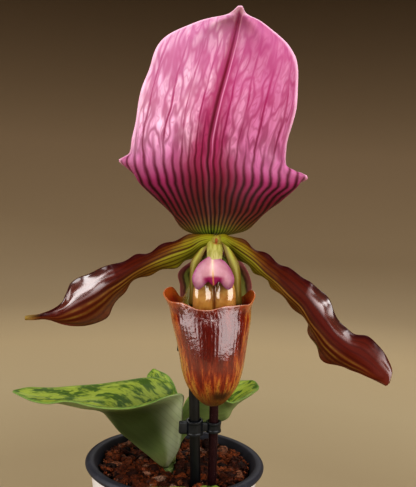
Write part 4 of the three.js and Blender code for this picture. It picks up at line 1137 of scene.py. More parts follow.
@dataclass(frozen=True)
class PineBark(Finish):
    """Damp pine bark chips: red-brown, layered, near black where wet, a few paler breaks.

    Broken wood with damp patches, so its gloss comes and goes over a rough grain.
    """

    label: str = "Pine bark, damp chips"
    grain_mm: float = 1.1

    def paint(self, node: Any) -> Any:
        """The shader's output."""
        place, tone = surface_values(node, "tone")
        chip = node("ValToRGB", tone, stops=[
            (0, "200E08"), (0.22, "4A2010"), (0.48, "743A1A"), (0.72, "8E4C26"), (0.93, "9C5C36"),
            (0.985, "A88470")])
        grain = node("TexNoise", place, per_metre(self.grain_mm), 6, 0.7)
        dark = node("MapRange", grain, 0.4, 0.62, 0.8, 0)
        wet = node("TexNoise", place, per_metre(6), 2)
        rough = node("MapRange", wet, 0.35, 0.65, 0.5, 0.9)
        return surface(node, painted(node, chip, (dark, "140A08")), rough, 1.35, (grain, 0.9, 0.0004))


@dataclass(frozen=True)
class Plastic(Finish):
    """Moulded plastic: one colour, its gloss broken by the mould's fine texture and light scuffs."""

    label: str = "Polypropylene, moulded"
    tint: str = "26272B"
    scuffed: str = "3A3B40"
    roughness: float = 0.42
    coat: float = 0.0
    texture_mm: float = 0.5

    def paint(self, node: Any) -> Any:
        """The shader's output."""
        place = node("TexCoord", out="Object")
        scuffs = node("TexNoise", place, per_metre(9), 6, 0.7, links={"Distortion": 0.6})
        worn = node("MapRange", scuffs, 0.52, 0.72, 0, 0.6)
        rough = node("MapRange", scuffs, 0, 1, self.roughness - 0.06, self.roughness + 0.1)
        fine = node("TexNoise", place, per_metre(self.texture_mm), 1)
        return node("BsdfPrincipled", links={
            "Base Color": painted(node, self.tint, (worn, self.scuffed)), "Roughness": rough, "IOR": 1.49,
            "Coat Weight": self.coat, "Coat Roughness": 0.12,
            "Normal": node("Bump", links={"Height": fine, "Strength": 0.12, "Distance": 0.00005})})


@dataclass(frozen=True)
class StudioPaper(Finish):
    """Matt pale studio paper, swept up from the floor into a backdrop; painted shade darkens it upwards."""

    label: str = "Studio paper, matt"
    reach: float = 2.5  # metres from the pot to the last tone
    # shares of that reach and the paper's colour there, painted light and shade included
    tones_with_painted_shade: tuple[tuple[float, str], ...] = (
        (0.08, "A2947A"), (0.15, "B6A88C"), (0.24, "C6B697"), (0.46, "CEBFA4"), (0.59, "CEBEA4"),
        (0.74, "C0AF98"), (0.92, "7A6C5A"),
    )

    def paint(self, node: Any) -> Any:
        """The shader's output."""
        place = node("TexCoord", out="Object")
        far = node("VectorMath", place, operation="LENGTH")
        far = node("Math", far, 1 / self.reach, **TIMES)
        # painted shade: a darker arc in front of the pot, where the lights stand close over it
        arc = node("ValToRGB", far, stops=[(0.13, 0), (0.28, 0.7), (0.42, 1), (0.56, 0)])
        arc = product(node, arc, (node("SeparateXYZ", place, out="Y"), -0.4, 0, 0.85, 0))
        colour = painted(node, node("ValToRGB", far, stops=self.tones_with_painted_shade), (arc, "5A4E3E"))
        return surface(node, colour, 0.95, 1.2)


# ---- blades


class Front(Enum):
    """The side of a blade's surface that faces the viewer."""

    OVER = 1
    UNDER = -1


@dataclass(frozen=True)
class Measures:
    """Where each corner of a blade's surface lies on it."""

    across: np.ndarray  # -1 at the first margin, 1 at the last
    along: np.ndarray  # 0 at the base, 1 at the tip
    run: np.ndarray  # millimetres along the midrib
    middle: np.ndarray  # millimetres from the midrib, signed
    margin: np.ndarray  # millimetres from the nearest margin

    @classmethod
    def of(cls, grid: np.ndarray) -> "Measures":
        """Measures a grid of points, rows from base to tip.

        Args:
            grid: the points.

        Returns:
            Their measures.
        """
        rows, columns = grid.shape[:2]
        walked = np.cumsum(np.linalg.norm(np.diff(grid, axis=1), axis=2), axis=1)
        walked = np.hstack([np.zeros((rows, 1)), walked])
        climbed = np.cumsum(np.linalg.norm(np.diff(grid, axis=0), axis=2), axis=0)
        climbed = np.vstack([np.zeros((1, columns)), climbed])
        run = np.repeat(climbed[:, columns // 2 : columns // 2 + 1], columns, axis=1)
        margin = np.minimum(walked, walked[:, -1:] - walked)
        return cls(
            across=np.repeat(np.linspace(-1, 1, columns)[None], rows, axis=0),
            along=run / run[-1, 0],
            run=run,
            middle=walked - walked[:, columns // 2 : columns // 2 + 1],
            margin=np.minimum(margin, climbed[-1:] - climbed),
        )


@dataclass(frozen=True)
class Relief:
    """Ribs, midrib groove, swell and margin waves of a blade, in millimetres."""

    ribs: float = 0.0  # on each side of the midrib
    spacing: float = 0.0  # from rib to rib, in place of a number of ribs
    crowd: float = 0.0  # further ribs that stand close beside the midrib, on each side
    crowd_width: float = 8.0
    rib_depth: float = 0.0
    rib_fade: float = 0.35  # share of their depth left at the tip
    sway: float = 0.0  # how far the ribs wander, in ribs, at the tip
    groove: float = 0.0
    groove_width: float = 1.0
    swell: float = 0.0
    swell_size: float = 9.0
    wave: float = 0.0
    wave_length: float = 14.0
    seed: int = 1

    def lines(self, at: Measures) -> np.ndarray:
        """Which rib each corner is on: whole numbers along the veins.

        Args:
            at: where the corners lie.

        Returns:
            A number for each corner.
        """
        drift = value_noise(at.middle / 8 + 20, at.run / 11 + 20, self.seed) - 0.5
        ribs = at.across * self.ribs
        if self.spacing:
            crowded = self.crowd * np.tanh(at.middle / self.crowd_width)
            ribs = (at.middle / self.spacing + crowded) / np.interp(at.along, *FAN)
        return ribs + drift * self.sway * np.clip((at.along - 0.12) / 0.6, 0.03, 1)

    def height(self, at: Measures) -> np.ndarray:
        """How far each corner stands towards the front.

        Args:
            at: where the corners lie.

        Returns:
            Millimetres for each corner.
        """
        fade = np.clip(at.along / 0.06, 0, 1) * (1 - (1 - self.rib_fade) * at.along)
        side = np.clip(np.abs(at.middle) / 1.5, 0, 1)
        out = -self.rib_depth * np.cos(2 * np.pi * self.lines(at)) * fade * side
        out = out - self.groove * bump(at.middle, 0, self.groove_width) * np.clip((1 - at.along) / 0.2, 0, 1)
        size = self.swell_size
        swell = value_noise(at.middle / size + 9, at.run / size + 9, self.seed + 1) - 0.5
        out = out + 2 * self.swell * swell * np.clip(at.margin / 2, 0.3, 1)
        share = np.clip((np.abs(at.across) - 0.5) / 0.5, 0, 1) ** 2
        drift = 3 * value_noise(at.run / 17 + 3, np.sign(at.across) * 5 + 9, self.seed + 2)
        ripple = np.sin(2 * np.pi * at.run / self.wave_length + drift)
        ends = np.clip(at.along / 0.15, 0, 1) * np.clip((1 - at.along) / 0.1, 0, 1)
        return out + self.wave * ripple * share * ends


def surface_grid(stations: Any, rows: int, columns: int) -> np.ndarray:
    """The smooth surface through a list of stations, as rows + 1 by columns + 1 points.

    Args:
        stations: rows of points from base to tip.
        rows: steps along it.
        columns: steps across it.

    Returns:
        The grid of points.
    """
    shares = np.linspace(0, 1, rows + 1)
    rails = np.array([curve_points(rail, shares) for rail in np.swapaxes(np.asarray(stations, float), 0, 1)])
    return np.array([spaced_row(rails[:, i], columns) for i in range(rows + 1)])


def add_blade(
    shape: Shape, grid: np.ndarray, thick: tuple[float, float], relief: Relief, front: Front, finish: int = 0
) -> None:
    """Adds a blade with two faces and rounded margins.

    Args:
        shape: what it joins.
        grid: its middle surface, rows from base to tip.
        thick: thickness at its middle and at its margins.
        relief: its ribs and waves.
        front: the side of the surface that faces the viewer.
        finish: which of the object's materials it wears.
    """
    at = Measures.of(grid)
    lengthwise, crosswise = np.gradient(grid, axis=0), np.gradient(grid, axis=1)
    normal = front.value * unit(np.cross(crosswise, lengthwise))
    surface = grid + normal * relief.height(at)[..., None]
    fleshy = np.clip(at.margin / 4, 0, 1) ** 0.6
    half = (thick[1] + (thick[0] - thick[1]) * fleshy)[..., None] / 2
    outwards = unit(crosswise)
    first = surface[:, :1] - outwards[:, :1] * half[:, :1]
    last = surface[:, -1:] + outwards[:, -1:] * half[:, -1:]
    top, under = surface + normal * half, surface - normal * half
    ring = np.concatenate([top, last, under[:, ::-1], first], axis=1)
    rows, columns = grid.shape[:2]
    around = ring.shape[1]
    faces: list[Any] = list(ring_faces(rows, around))
    for row in (0, rows - 1):
        start = row * around
        back = start + around - 2
        end = [[start + j, start + j + 1, back - 1 - j, back - j] for j in range(columns - 1)]
        end.append([start + columns - 1, start + columns, start + columns + 1])
        end.append([back, back + 1, start])
        faces += [f[::-1] for f in end] if row == 0 else end

    def both(value: np.ndarray) -> np.ndarray:
        """A value of the surface, for each corner of the ring."""
        return np.concatenate([value, value[:, -1:], value[:, ::-1], value[:, :1]], axis=1)

    facing = np.ones((rows, around))
    facing[:, columns] = facing[:, -1] = 0.6
    facing[:, columns + 1 : -1] = 0
    shape.add(
        ring, faces, finish, across=both(at.across), along=both(at.along), run_mm=both(at.run),
        middle_mm=both(at.middle), margin_mm=both(at.margin), line=both(relief.lines(at)), face=facing,
    )


# ---- pieces


@functools.cache
def material_of(finish: Finish) -> bpy.types.Material:
    """The material of a finish, made once."""
    return finish.build()


@dataclass(kw_only=True)
class Piece:
    """One visible piece: its name, the nodes that it stands for, its slot and its finishes."""

    name: str
    slot: str
    finishes: tuple[Finish, ...]
    nodes: tuple[str, ...] = ()

    def shape(self) -> Shape:
        """Its bodies, in millimetres in the part's frame."""
        raise NotImplementedError

    def materials(self) -> list[bpy.types.Material]:
        """The materials of its finishes."""
        return [material_of(finish) for finish in self.finishes]

    def model(self) -> bpy.types.Object:
        """Its object, before it is tied to the frame."""
        return self.shape().build(self.name, self.materials())

    def make(self) -> bpy.types.Object:
        """Builds it and ties it to the frame."""
        obj = self.model()
        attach(obj, BODY)
        if self.nodes:
            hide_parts(*self.nodes)
        LOG.info("%s: %d faces", self.name, len(obj.data.polygons))
        return obj


def flower_to_part(points: Any) -> np.ndarray:
    """Points from the flower's own frame to the part's.

    Args:
        points: in the flower's frame.

    Returns:
        The same points in the part's frame.
    """
    nod, lean = math.radians(FLOWER_NOD), math.radians(FLOWER_LEAN)
    turn = Matrix.Rotation(-nod, 3, "X") @ Matrix.Rotation(-lean, 3, "Y")
    return np.asarray(points, float) @ np.array(turn).T + FLOWER_PLACE


@dataclass(kw_only=True)
class BladePiece(Piece):
    """A sepal, petal or leaf through its stations."""

    stations: Any
    rows: int
    columns: int
    thick: tuple[float, float]
    relief: Relief
    front: Front = Front.OVER
    in_flower: bool = True

    def shape(self) -> Shape:
        """Its one body."""
        grid = surface_grid(self.stations, self.rows, self.columns)
        out = Shape()
        add_blade(out, flower_to_part(grid) if self.in_flower else grid, self.thick, self.relief, self.front)
        return out


@dataclass(kw_only=True)
class BractPiece(Piece):
    """The bract: a pointed sheath round the foot of the ovary."""

    rows: int = 60
    columns: int = 44

    def shape(self) -> Shape:
        """Its one body."""
        spine = SCAPE_ROUTE[-2:] + OVARY_ROUTE[1:4]
        share = np.linspace(0, 1, self.rows + 1)
        at = 0.16 + 0.6 * share
        centre = curve_points(spine, at)
        sideways, outward = square_to(heading(spine, at))
        radius = (3 + 1.6 * np.sin(np.pi * share / 2))[:, None]
        wrap = np.radians(110 + (7 - 110) * share**2.2)[:, None]
        turn = wrap * np.linspace(-1, 1, self.columns + 1)[None]
        grid = centre[:, None] + outward[:, None] * (radius * np.cos(turn))[..., None]
        grid = grid + sideways[:, None] * (radius * np.sin(turn))[..., None]
        middle = self.columns // 2
        normal = np.cross(np.gradient(grid, axis=1), np.gradient(grid, axis=0))[self.rows // 2, middle]
        front = Front.OVER if normal @ outward[self.rows // 2] > 0 else Front.UNDER
        out = Shape()
        relief = Relief(
            ribs=6, rib_depth=0.07, rib_fade=0.8, swell=0.08, swell_size=5, groove=-0.15, groove_width=0.6
        )
        add_blade(out, grid, (0.8, 0.5), relief, front)
        return out


@dataclass(kw_only=True)
class PouchPiece(Piece):
    """The lip: a thin-walled pouch with its rim, ears and claw, and the infolded side lobes."""

    rows: int = 84
    columns: int = 176
    ribs: int = 30  # round half the pouch
    wall: float = 0.5  # its thickness at the rim
    thicker: float = 0.4  # added to that further down
    flare: float = 0.4  # how far the rim turns out in front

    def shape(self) -> Shape:
        """The pouch and its two side lobes."""
        out = Shape()
        self.add_pouch(out)
        for middle, half in (*LIP_LOBES, LIP_FOLD):
            self.add_lobe(out, middle, half)
        for side, band in CLAW_BANDS.items():
            grid = flower_to_part(surface_grid(band, 50, 16))
            add_blade(out, grid, (0.9, 0.6), Relief(), Front(side), 2)
        return out

    def add_pouch(self, out: Shape) -> None:
        """Adds the pouch's wall.

        Args:
            out: the shape that it joins.
        """
        shares = np.linspace(0, 1, self.rows + 1)[1:]
        rails = []
        for degrees, throat, rim in LIP_RIM:
            turn = math.radians(degrees)
            rings = [
                [
                    middle + half * math.sin(turn),
                    (front + back) / 2 + (front - back) / 2 * math.cos(turn),
                    height,
                ]
                for height, middle, half, front, back in LIP_RINGS
            ]
            rails.append(curve_points([LIP_TOE, *rings, throat, rim], shares))
        rails = np.array(rails)
        where = np.arange(self.columns) / self.columns
        wall = np.array([curve_points(rails[:, i], where, closed=True) for i in range(self.rows)])
        degrees = [row[0] % 360 for row in LIP_RIM] + [360]
        from_front = np.interp(where * len(LIP_RIM), np.arange(len(LIP_RIM) + 1), degrees)
        from_front = np.where(from_front > 180, from_front - 360, from_front) / 180
        around = np.roll(wall, -1, axis=1) - np.roll(wall, 1, axis=1)
        normal = unit(np.cross(around, np.gradient(wall, axis=0)))
        climbed = np.cumsum(np.linalg.norm(np.diff(wall, axis=0), axis=2), axis=0)
        climbed = np.vstack([np.zeros((1, self.columns)), climbed])
        to_rim = climbed[-1:] - climbed
        in_front = np.clip((0.45 - np.abs(from_front)) / 0.15, 0, 1)
        flare = self.flare * np.clip(1 - to_rim / 4.2, 0, 1) ** 1.5 * in_front
        wall = wall + normal * flare[..., None]
        share = np.repeat(shares[:, None], self.columns, axis=1)
        turn = np.repeat(from_front[None], self.rows, axis=0)
        rib = np.cos(2 * np.pi * self.ribs * turn + 4 * value_noise(share * 5, turn * 3 + 9, 5))
        fade = np.clip(share / 0.15, 0, 1) * np.clip(to_rim / 2, 0.2, 1)
        grain = value_noise(turn * self.ribs + 40, share * 9, 6) - 0.5
        swell = value_noise(turn * 7 + 20, share * 4, 7) - 0.5
        outer = wall + normal * ((0.035 * rib + 0.1 * grain + 0.25 * swell) * fade)[..., None]
        thick = self.wall + self.thicker * np.clip(to_rim / 5, 0, 1)
        inner = wall - normal * thick[..., None]
        upward = unit(wall[-1] - wall[-3])
        rim_ring = ((outer[-1] + inner[-1]) / 2 + 0.22 * upward)[None]
        toe = np.array(LIP_TOE, float)
        corners = np.concatenate([outer, rim_ring, inner[::-1]]).reshape(-1, 3)
        count = len(corners)
        corners = np.vstack([corners, toe, toe + [0, 0, 1.3]])
        rings = 2 * self.rows + 1
        faces: list[Any] = list(ring_faces(rings, self.columns))
        last = (rings - 1) * self.columns
        for j in range(self.columns):
            n = (j + 1) % self.columns
            faces += [[count, n, j], [count + 1, last + j, last + n]]

        def all_round(value: np.ndarray, rim: Any, toe_value: float) -> np.ndarray:
            """A value of the wall, for each corner."""
            rim_row = np.broadcast_to(rim, (1, self.columns))
            return np.append(np.concatenate([value, rim_row, value[::-1]]).reshape(-1), [toe_value] * 2)

        face = np.concatenate([np.ones(self.rows + 1), np.zeros(self.rows)])
        face = np.append(np.repeat(face, self.columns), [1, 0])
        out.add(
            flower_to_part(corners), faces, 0, across=all_round(turn, from_front, 0.0),
            along=all_round(share, 1.0, 0.0), margin_mm=all_round(to_rim, 0.0, 60.0), face=face,
        )

    def add_lobe(self, out: Shape, middle: Sequence[float], half: Sequence[float]) -> None:
        """Adds one infolded side lobe: a smooth upright roll with a broad front.

        Args:
            out: the shape that it joins.
            middle: its middle in the flower.
            half: its half sizes.
        """
        tall, sides = 48, 72
        polar = np.linspace(0, np.pi, tall)[:, None]
        turn = np.linspace(-np.pi, np.pi, sides, endpoint=False)[None]
        reach = np.sin(polar) ** 0.8
        x = middle[0] + half[0] * reach * signed_power(np.sin(turn), 0.85)
        y = middle[1] - half[1] * reach * np.cos(turn)
        z = middle[2] + half[2] * np.cos(polar) * np.ones_like(turn)
        fold = np.abs(x - LIP_FOLD[0][0]) / LIP_FOLD[1][0]
        height = np.broadcast_to((1 + np.cos(polar)) / 2, x.shape)
        corners = flower_to_part(np.stack([x, y, z], -1))
        out.add(corners, ring_faces(tall, sides), 1, across=fold, along=height, face=1.0)


def ball(middle: Any, half: Any) -> tuple[np.ndarray, list[Any]]:
    """An egg shape in the flower, as corners in the part's frame and faces."""
    corners, faces = turned_body([[math.sin(a), -math.cos(a)] for a in np.linspace(0, np.pi, 24)], 36)
    return flower_to_part(corners.reshape(-1, 3) * half + middle), faces


@dataclass(kw_only=True)
class MoundPiece(Piece):
    """The mound above the column, where the petals meet."""

    def shape(self) -> Shape:
        """Its one body."""
        return Shape().add(*ball(*MOUND), along=0.1, margin_mm=0.8, face=1.0)


@dataclass(kw_only=True)
class ColumnPiece(Piece):
    """The column with its boss, and the shield on its front."""

    def shape(self) -> Shape:
        """Column, boss and shield."""
        out = Shape()
        steps = np.linspace(0, 1, 40)
        radii = np.interp(steps, np.linspace(0, 1, len(COLUMN_RADII)), COLUMN_RADII)
        corners, faces, along, _ = tube(COLUMN_ROUTE, radii, 48)
        away = np.linalg.norm(corners - BOSS[0], axis=1) - 0.6
        out.add(flower_to_part(corners), faces, 1, along=along, margin_mm=away, face=1.0)
        out.add(*ball(*BOSS), 1, along=0.5, margin_mm=0.0, face=1.0)
        grid = flower_to_part(surface_grid(np.swapaxes(np.array(SHIELD, float), 0, 1), 64, 84))
        normal = np.cross(np.gradient(grid, axis=1), np.gradient(grid, axis=0))[32, 42]
        front = Front.OVER if normal[1] < 0 else Front.UNDER
        relief = Relief(groove=0.22, groove_width=0.7, swell=0.12, swell_size=3.5, seed=21)
        add_blade(out, grid, (1.3, 0.7), relief, front)
        return out


@dataclass(kw_only=True)
class StemPiece(Piece):
    """A living stem along its route."""

    route: Any
    radii: Any
    steps: int
    sides: int
    ribs: int = 0
    rib_depth: float = 0.0
    seed: int = 3

    def shape(self) -> Shape:
        """Its one body, with a slightly uneven skin."""
        share = np.linspace(0, 1, self.steps)
        radii = np.interp(share, np.linspace(0, 1, len(self.radii)), self.radii)
        depth = self.rib_depth * np.sin(np.pi * share)
        corners, faces, along, turn = tube(self.route, radii, self.sides, self.ribs, depth)
        middle = np.repeat(curve_points(self.route, share), self.sides, axis=0)
        uneven = value_noise(along * self.steps / 3, np.abs(turn - np.pi) * 2.5, self.seed) - 0.5
        corners = corners + unit(corners - middle) * (0.09 * uneven)[:, None]
        return Shape().add(corners, faces, across=turn, along=along)


@dataclass(kw_only=True)
class StakePiece(Piece):
    """The round support stake: domed top, tapered foot and two mould seams."""

    sides: int = 64
    seam: float = 0.02  # how far each seam stands out, as a share of the radius
    seam_width: float = 0.09  # radians

    def shape(self) -> Shape:
        """Its one body."""
        foot, top = np.array(STAKE_FOOT), np.array(STAKE_TOP)
        length = np.linalg.norm(top - foot)
        ends = np.array([0, 0.02, 0.06, 0.15, 0.3, 0.5, 0.75, 1.0]) * STAKE_RADIUS
        at = np.concatenate([ends, np.linspace(4, length - 4, 60), length - ends[::-1]])
        from_top = np.minimum(length - at, STAKE_RADIUS) / STAKE_RADIUS
        dome = np.sqrt(np.clip(1 - (1 - from_top) ** 2, 0.0004, 1))
        taper = np.clip(0.55 + at / 9, 0, 1)
        turn = turns(self.sides)
        seam = 1 + self.seam * sum(bump(turn, k * np.pi, self.seam_width) for k in (0.5, 1.5))
        radius = STAKE_RADIUS * np.minimum(dome, taper)[:, None] * seam
        ahead = (top - foot) / length
        return Shape().add(*swept(foot + at[:, None] * ahead, ahead, radius))


def on_route(route: Any, height: float) -> tuple[np.ndarray, np.ndarray]:
    """Where a rising route crosses a height, and which way it runs there.

    Args:
        route: the points that it passes through.
        height: where it is read.

    Returns:
        The place and the direction.
    """
    share = np.linspace(0, 1, 4001)
    points = curve_points(route, share)
    k = int(np.argmin(np.abs(points[:, 2] - height)))
    return points[k], unit(points[k + 5] - points[k - 5])


def bar(size: Sequence[float], radius: float) -> tuple[np.ndarray, list[Any]]:
    """A block along X with all its edges rounded.

    Args:
        size: its length, width and height.
        radius: of its edges.

    Returns:
        Its corners round its own middle, and its faces.
    """
    length, wide, tall = (s / 2 for s in size)
    quarter = np.linspace(0, np.pi / 2, 7)
    slices = [(-length + radius * (1 - math.sin(a)), radius * (1 - math.cos(a))) for a in quarter[::-1]]
    slices += [(-x, inset) for x, inset in slices[::-1]]
    corners = []
    for x, inset in slices:
        ring = []
        for k, (sy, sz) in enumerate(((1, 1), (-1, 1), (-1, -1), (1, -1))):
            for a in quarter + k * np.pi / 2:
                reach = max(radius - inset, 0.02)
                y = sy * (wide - radius) + reach * math.cos(a)
                z = sz * (tall - radius) + reach * math.sin(a)
                ring.append([x, y, z])
        corners.append(ring)
    return np.array(corners).reshape(-1, 3), capped_faces(len(slices), len(corners[0]))


@dataclass(kw_only=True)
class ClipPiece(Piece):
    """A plastic clip: a ring round the stake with a finger lobe, and a ring round the stem."""

    height: float

    def shape(self) -> Shape:
        """Rings, bridge and finger lobe."""
        out = Shape()
        stake, stake_ahead = on_route([STAKE_FOOT, STAKE_TOP], self.height)
        stem, stem_ahead = on_route(SCAPE_ROUTE, self.height)
        stake_inner, stem_inner = STAKE_RADIUS + CLIP_CLEARANCE, SCAPE_RADIUS + CLIP_CLEARANCE
        rings = (
            (stake, stake_ahead, stake_inner, CLIP_STAKE_TALL),
            (stem, stem_ahead, stem_inner, CLIP_TALL),
        )
        for at, ahead, inner, tall in rings:
            outer, half = inner + CLIP_WALL, tall / 2
            # a bead along each end of the ring
            above = [[inner, half], [outer, half], [outer, half - 0.9], [outer - 0.18, half - 1.2]]
            profile = [[inner, 0], *above, *([r, -z] for r, z in above[::-1]), [inner, 0]]
            corners, faces = turned_body(rounded(profile, 0.2), 72)
            lean = Vector((0, 0, 1)).rotation_difference(Vector(ahead)).to_matrix()
            out.add(corners.reshape(-1, 3) @ np.array(lean).T + at, faces)
        across = stem[:2] - stake[:2]
        turn = math.atan2(across[1], across[0])
        first, last = stake_inner + CLIP_WALL / 2, np.linalg.norm(across) - stem_inner - CLIP_WALL / 2
        lobe = stake_inner + CLIP_WALL / 2 + CLIP_LOBE / 2
        spin = np.array(Matrix.Rotation(turn, 3, "Z"))
        blocks = (
            ((first + last) / 2, (last - first + 0.3, CLIP_THICK, CLIP_TALL * 0.8), 0.35),
            (-lobe, (CLIP_LOBE, CLIP_THICK, CLIP_STAKE_TALL * 0.85), 0.7),
        )
        for along, size, radius in blocks:
            corners, faces = bar(size, radius)
            middle = stake + np.array([along * math.cos(turn), along * math.sin(turn), 0])
            middle[2] = self.height
            out.add(corners @ spin.T + middle, faces)
        return out


@dataclass(kw_only=True)
class TurnedPiece(Piece):
    """A turned piece with softened edges."""

    profile: Any
    edge: float = 0.6
    segments: int = 160

    def shape(self) -> Shape:
        """Its one body."""
        return Shape().add(*turned_body(rounded(self.profile, self.edge), self.segments))


@dataclass(kw_only=True)
class GrowPotPiece(TurnedPiece):
    """The grow pot, with round drain holes through its floor."""

    def model(self) -> bpy.types.Object:
        """The pot, cut by its drain holes."""
        obj = super().model()
        drills = Shape()
        low, high = DRAIN_SPAN
        for turn in turns(DRAINS):
            profile = [[0, low], [DRAIN_RADIUS, low], [DRAIN_RADIUS, high], [0, high]]
            corners, faces = turned_body(profile, 32)
            drills.add(corners + [DRAIN_RING * math.cos(turn), DRAIN_RING * math.sin(turn), 0], faces)
        drill = drills.build("drain_drills", [])
        cut = obj.modifiers.new("drain_holes", "BOOLEAN")
        cut.object, cut.operation, cut.solver = drill, "DIFFERENCE", "EXACT"
        baked(obj)
        bpy.data.objects.remove(drill)
        return obj


def baked(obj: bpy.types.Object) -> bpy.types.Object:
    """The object with its modifiers worked into its mesh.

    Args:
        obj: what is changed.

    Returns:
        The same object.
    """
    scene_state = bpy.context.evaluated_depsgraph_get()
    mesh = bpy.data.meshes.new_from_object(
        obj.evaluated_get(scene_state), preserve_all_data_layers=True, depsgraph=scene_state
    )
    obj.modifiers.clear()
    obj.data = mesh
    return obj


@dataclass(kw_only=True)
class CrownPiece(Piece):
    """The foot of a growth: leaf bases that sheathe each other, in an oval."""

    middle: tuple[float, float]
    half: tuple[float, float]
    foot: float
    top: float
    bore: float = 0.0
    sides: int = 96
    folds: int = 5
    fold_depth: float = 0.045  # as a share of its radius

    def shape(self) -> Shape:
        """Its one body."""
        top, foot, bore = self.top, self.foot, self.bore
        profile = [[bore, foot], [0.8, foot], [1, foot + 3], [1, top - 1.2], [0.84, top], [bore, top - 0.2]]
        if bore:
            profile.append([bore, foot])
        fine = rounded(profile, 0.12 if bore else 0.2, 5)
        corners, faces = turned_body(fine, self.sides)
        angle = np.arctan2(corners[..., 1], corners[..., 0])
        radius = np.hypot(corners[..., 0], corners[..., 1])
        crease = 1 - self.fold_depth * np.abs(np.sin(self.folds * angle / 2)) ** 8 * (radius > 0.7)
        corners[..., 0] *= self.half[0] * crease
        corners[..., 1] *= self.half[1] * crease
        corners = corners + [self.middle[0], self.middle[1], 0]
        along = np.clip((corners[..., 2] - foot) / (top - foot), 0, 1)
        return Shape().add(
            corners, faces, face=0.0, along=0.2 + 0.3 * along, middle_mm=angle * 4, run_mm=corners[..., 2],
            margin_mm=3.0,
        )


# ---- scattered pieces


def modifier_tree(name: str, inputs: dict[str, str]) -> tuple[Any, Any]:
    """A new Geometry Nodes tree with a geometry in and out and named inputs.

    Args:
        name: the tree's name.
        inputs: each further input's name and kind of value.

    Returns:
        What adds a node to the tree, and the tree's inputs.
    """
    tree = bpy.data.node_groups.new(name, "GeometryNodeTree")
    for way in ("INPUT", "OUTPUT"):
        tree.interface.new_socket("Geometry", in_out=way, socket_type="NodeSocketGeometry")
    for label, kind in inputs.items():
        tree.interface.new_socket(label, in_out="INPUT", socket_type="NodeSocket" + kind)
    node = functools.partial(add_node, tree)
    return node, node("NodeGroupInput", out=None).outputs


def finish_tree(node: Any, placed: Any, material: Any) -> Any:
    """Makes the placed copies real, dresses them and returns the tree that they end.

    Args:
        node: adds a node to the tree.
        placed: the copies.
        material: what they wear.

    Returns:
        The tree.
    """
    real = node("GeometryNodeRealizeInstances", placed)
    dressed = node("GeometryNodeSetMaterial", real, links={"Material": material})
    return node("NodeGroupOutput", dressed, out=None).id_data


def run_tree(obj: bpy.types.Object, tree: Any, values: dict[str, Any]) -> bpy.types.Object:
    """Puts a tree with its input values on an object and bakes it.

    Args:
        obj: what the tree works on.
        tree: the node tree.
        values: what its named inputs get.

    Returns:
        The baked object.
    """
    modifier = obj.modifiers.new(tree.name, "NODES")
    modifier.node_group = tree
    for item in tree.interface.items_tree:
        if item.in_out == "INPUT" and item.name in values:
            modifier[item.identifier] = values[item.name]
    return baked(obj)


@functools.cache
def down_tree() -> Any:
    """Tapered hairs all over a surface, leaning a little each its own way."""
    node, own = modifier_tree("scatter_down", {
        "Density": "Float", "Length": "Float", "Width": "Float", "Seed": "Int", "Material": "Material"})
    seeded = {"Seed": own["Seed"]}
    spread = node("GeometryNodeDistributePointsOnFaces", own["Geometry"], links={
        "Density": own["Density"], **seeded}, out=None).outputs
    hair = node("GeometryNodeMeshCone", links={
        "Vertices": 3, "Radius Top": 0, "Radius Bottom": own["Width"], "Depth": own["Length"]})
    lean = node(
        "FunctionNodeRandomValue", (-0.6, -0.6, 0), (0.6, 0.6, 3), links=seeded, data_type="FLOAT_VECTOR")
    turned = node("FunctionNodeRotateRotation", spread["Rotation"], lean, rotation_space="LOCAL")
    size = node("FunctionNodeRandomValue", 0.45, 1.15, links=seeded, data_type="FLOAT")
    placed = node("GeometryNodeInstanceOnPoints", spread["Points"], links={
        "Instance": hair, "Rotation": turned, "Scale": size})
    return finish_tree(node, placed, own["Material"])


@dataclass(kw_only=True)
class DownPiece(Piece):
    """The down on another piece's skin."""

    host: Piece
    per_mm2: float
    length: float
    width: float = 0.035
    seed: int = 1

    def model(self) -> bpy.types.Object:
        """The hairs, scattered over the host's shape."""
        obj = self.host.shape().build(self.name, self.materials())
        return run_tree(obj, down_tree(), {
            "Density": self.per_mm2 / MM**2, "Length": self.length * MM, "Width": self.width * MM,
            "Seed": self.seed, "Material": self.materials()[0],
        })


@functools.cache
def chips_tree() -> Any:
    """Chips picked from a collection, each with its own turn, size and tone."""
    node, own = modifier_tree("scatter_chips", {
        "Density": "Float", "Chips": "Collection", "Smallest": "Float", "Largest": "Float",
        "Tilt": "Float", "Seed": "Int", "Material": "Material"})
    seeded = {"Seed": own["Seed"]}
    points = node("GeometryNodeDistributePointsOnFaces", own["Geometry"], links={
        "Density": own["Density"], **seeded})
    chips = node("GeometryNodeCollectionInfo", links={
        "Collection": own["Chips"], "Separate Children": True, "Reset Children": True})
    tilt = node(
        "FunctionNodeRandomValue", (-1, -1, -3.14), (1, 1, 3.14), links=seeded, data_type="FLOAT_VECTOR")
    tilt = node("VectorMath", tilt, node("CombineXYZ", own["Tilt"], own["Tilt"], 1), **TIMES)
    size = node(
        "FunctionNodeRandomValue", own["Smallest"], own["Largest"], links=seeded, data_type="FLOAT")
    placed = node("GeometryNodeInstanceOnPoints", points, links={
        "Instance": chips, "Pick Instance": True, "Rotation": tilt, "Scale": size})
    tone = node("FunctionNodeRandomValue", links={"Seed": 77}, data_type="FLOAT")
    toned = node("GeometryNodeStoreNamedAttribute", placed, links={
        "Name": "tone", "Value": tone}, data_type="FLOAT", domain="INSTANCE")
    return finish_tree(node, toned, own["Material"])


def inside_grow_pot(z: float) -> float:
    """Radius of the grow pot's inside at a height."""
    rise = (z - BARK_FLOOR) / (POT_HEIGHT - LIP_HEIGHT - BARK_FLOOR)
    return INSIDE_AT_FLOOR + (INSIDE_AT_LIP - INSIDE_AT_FLOOR) * rise


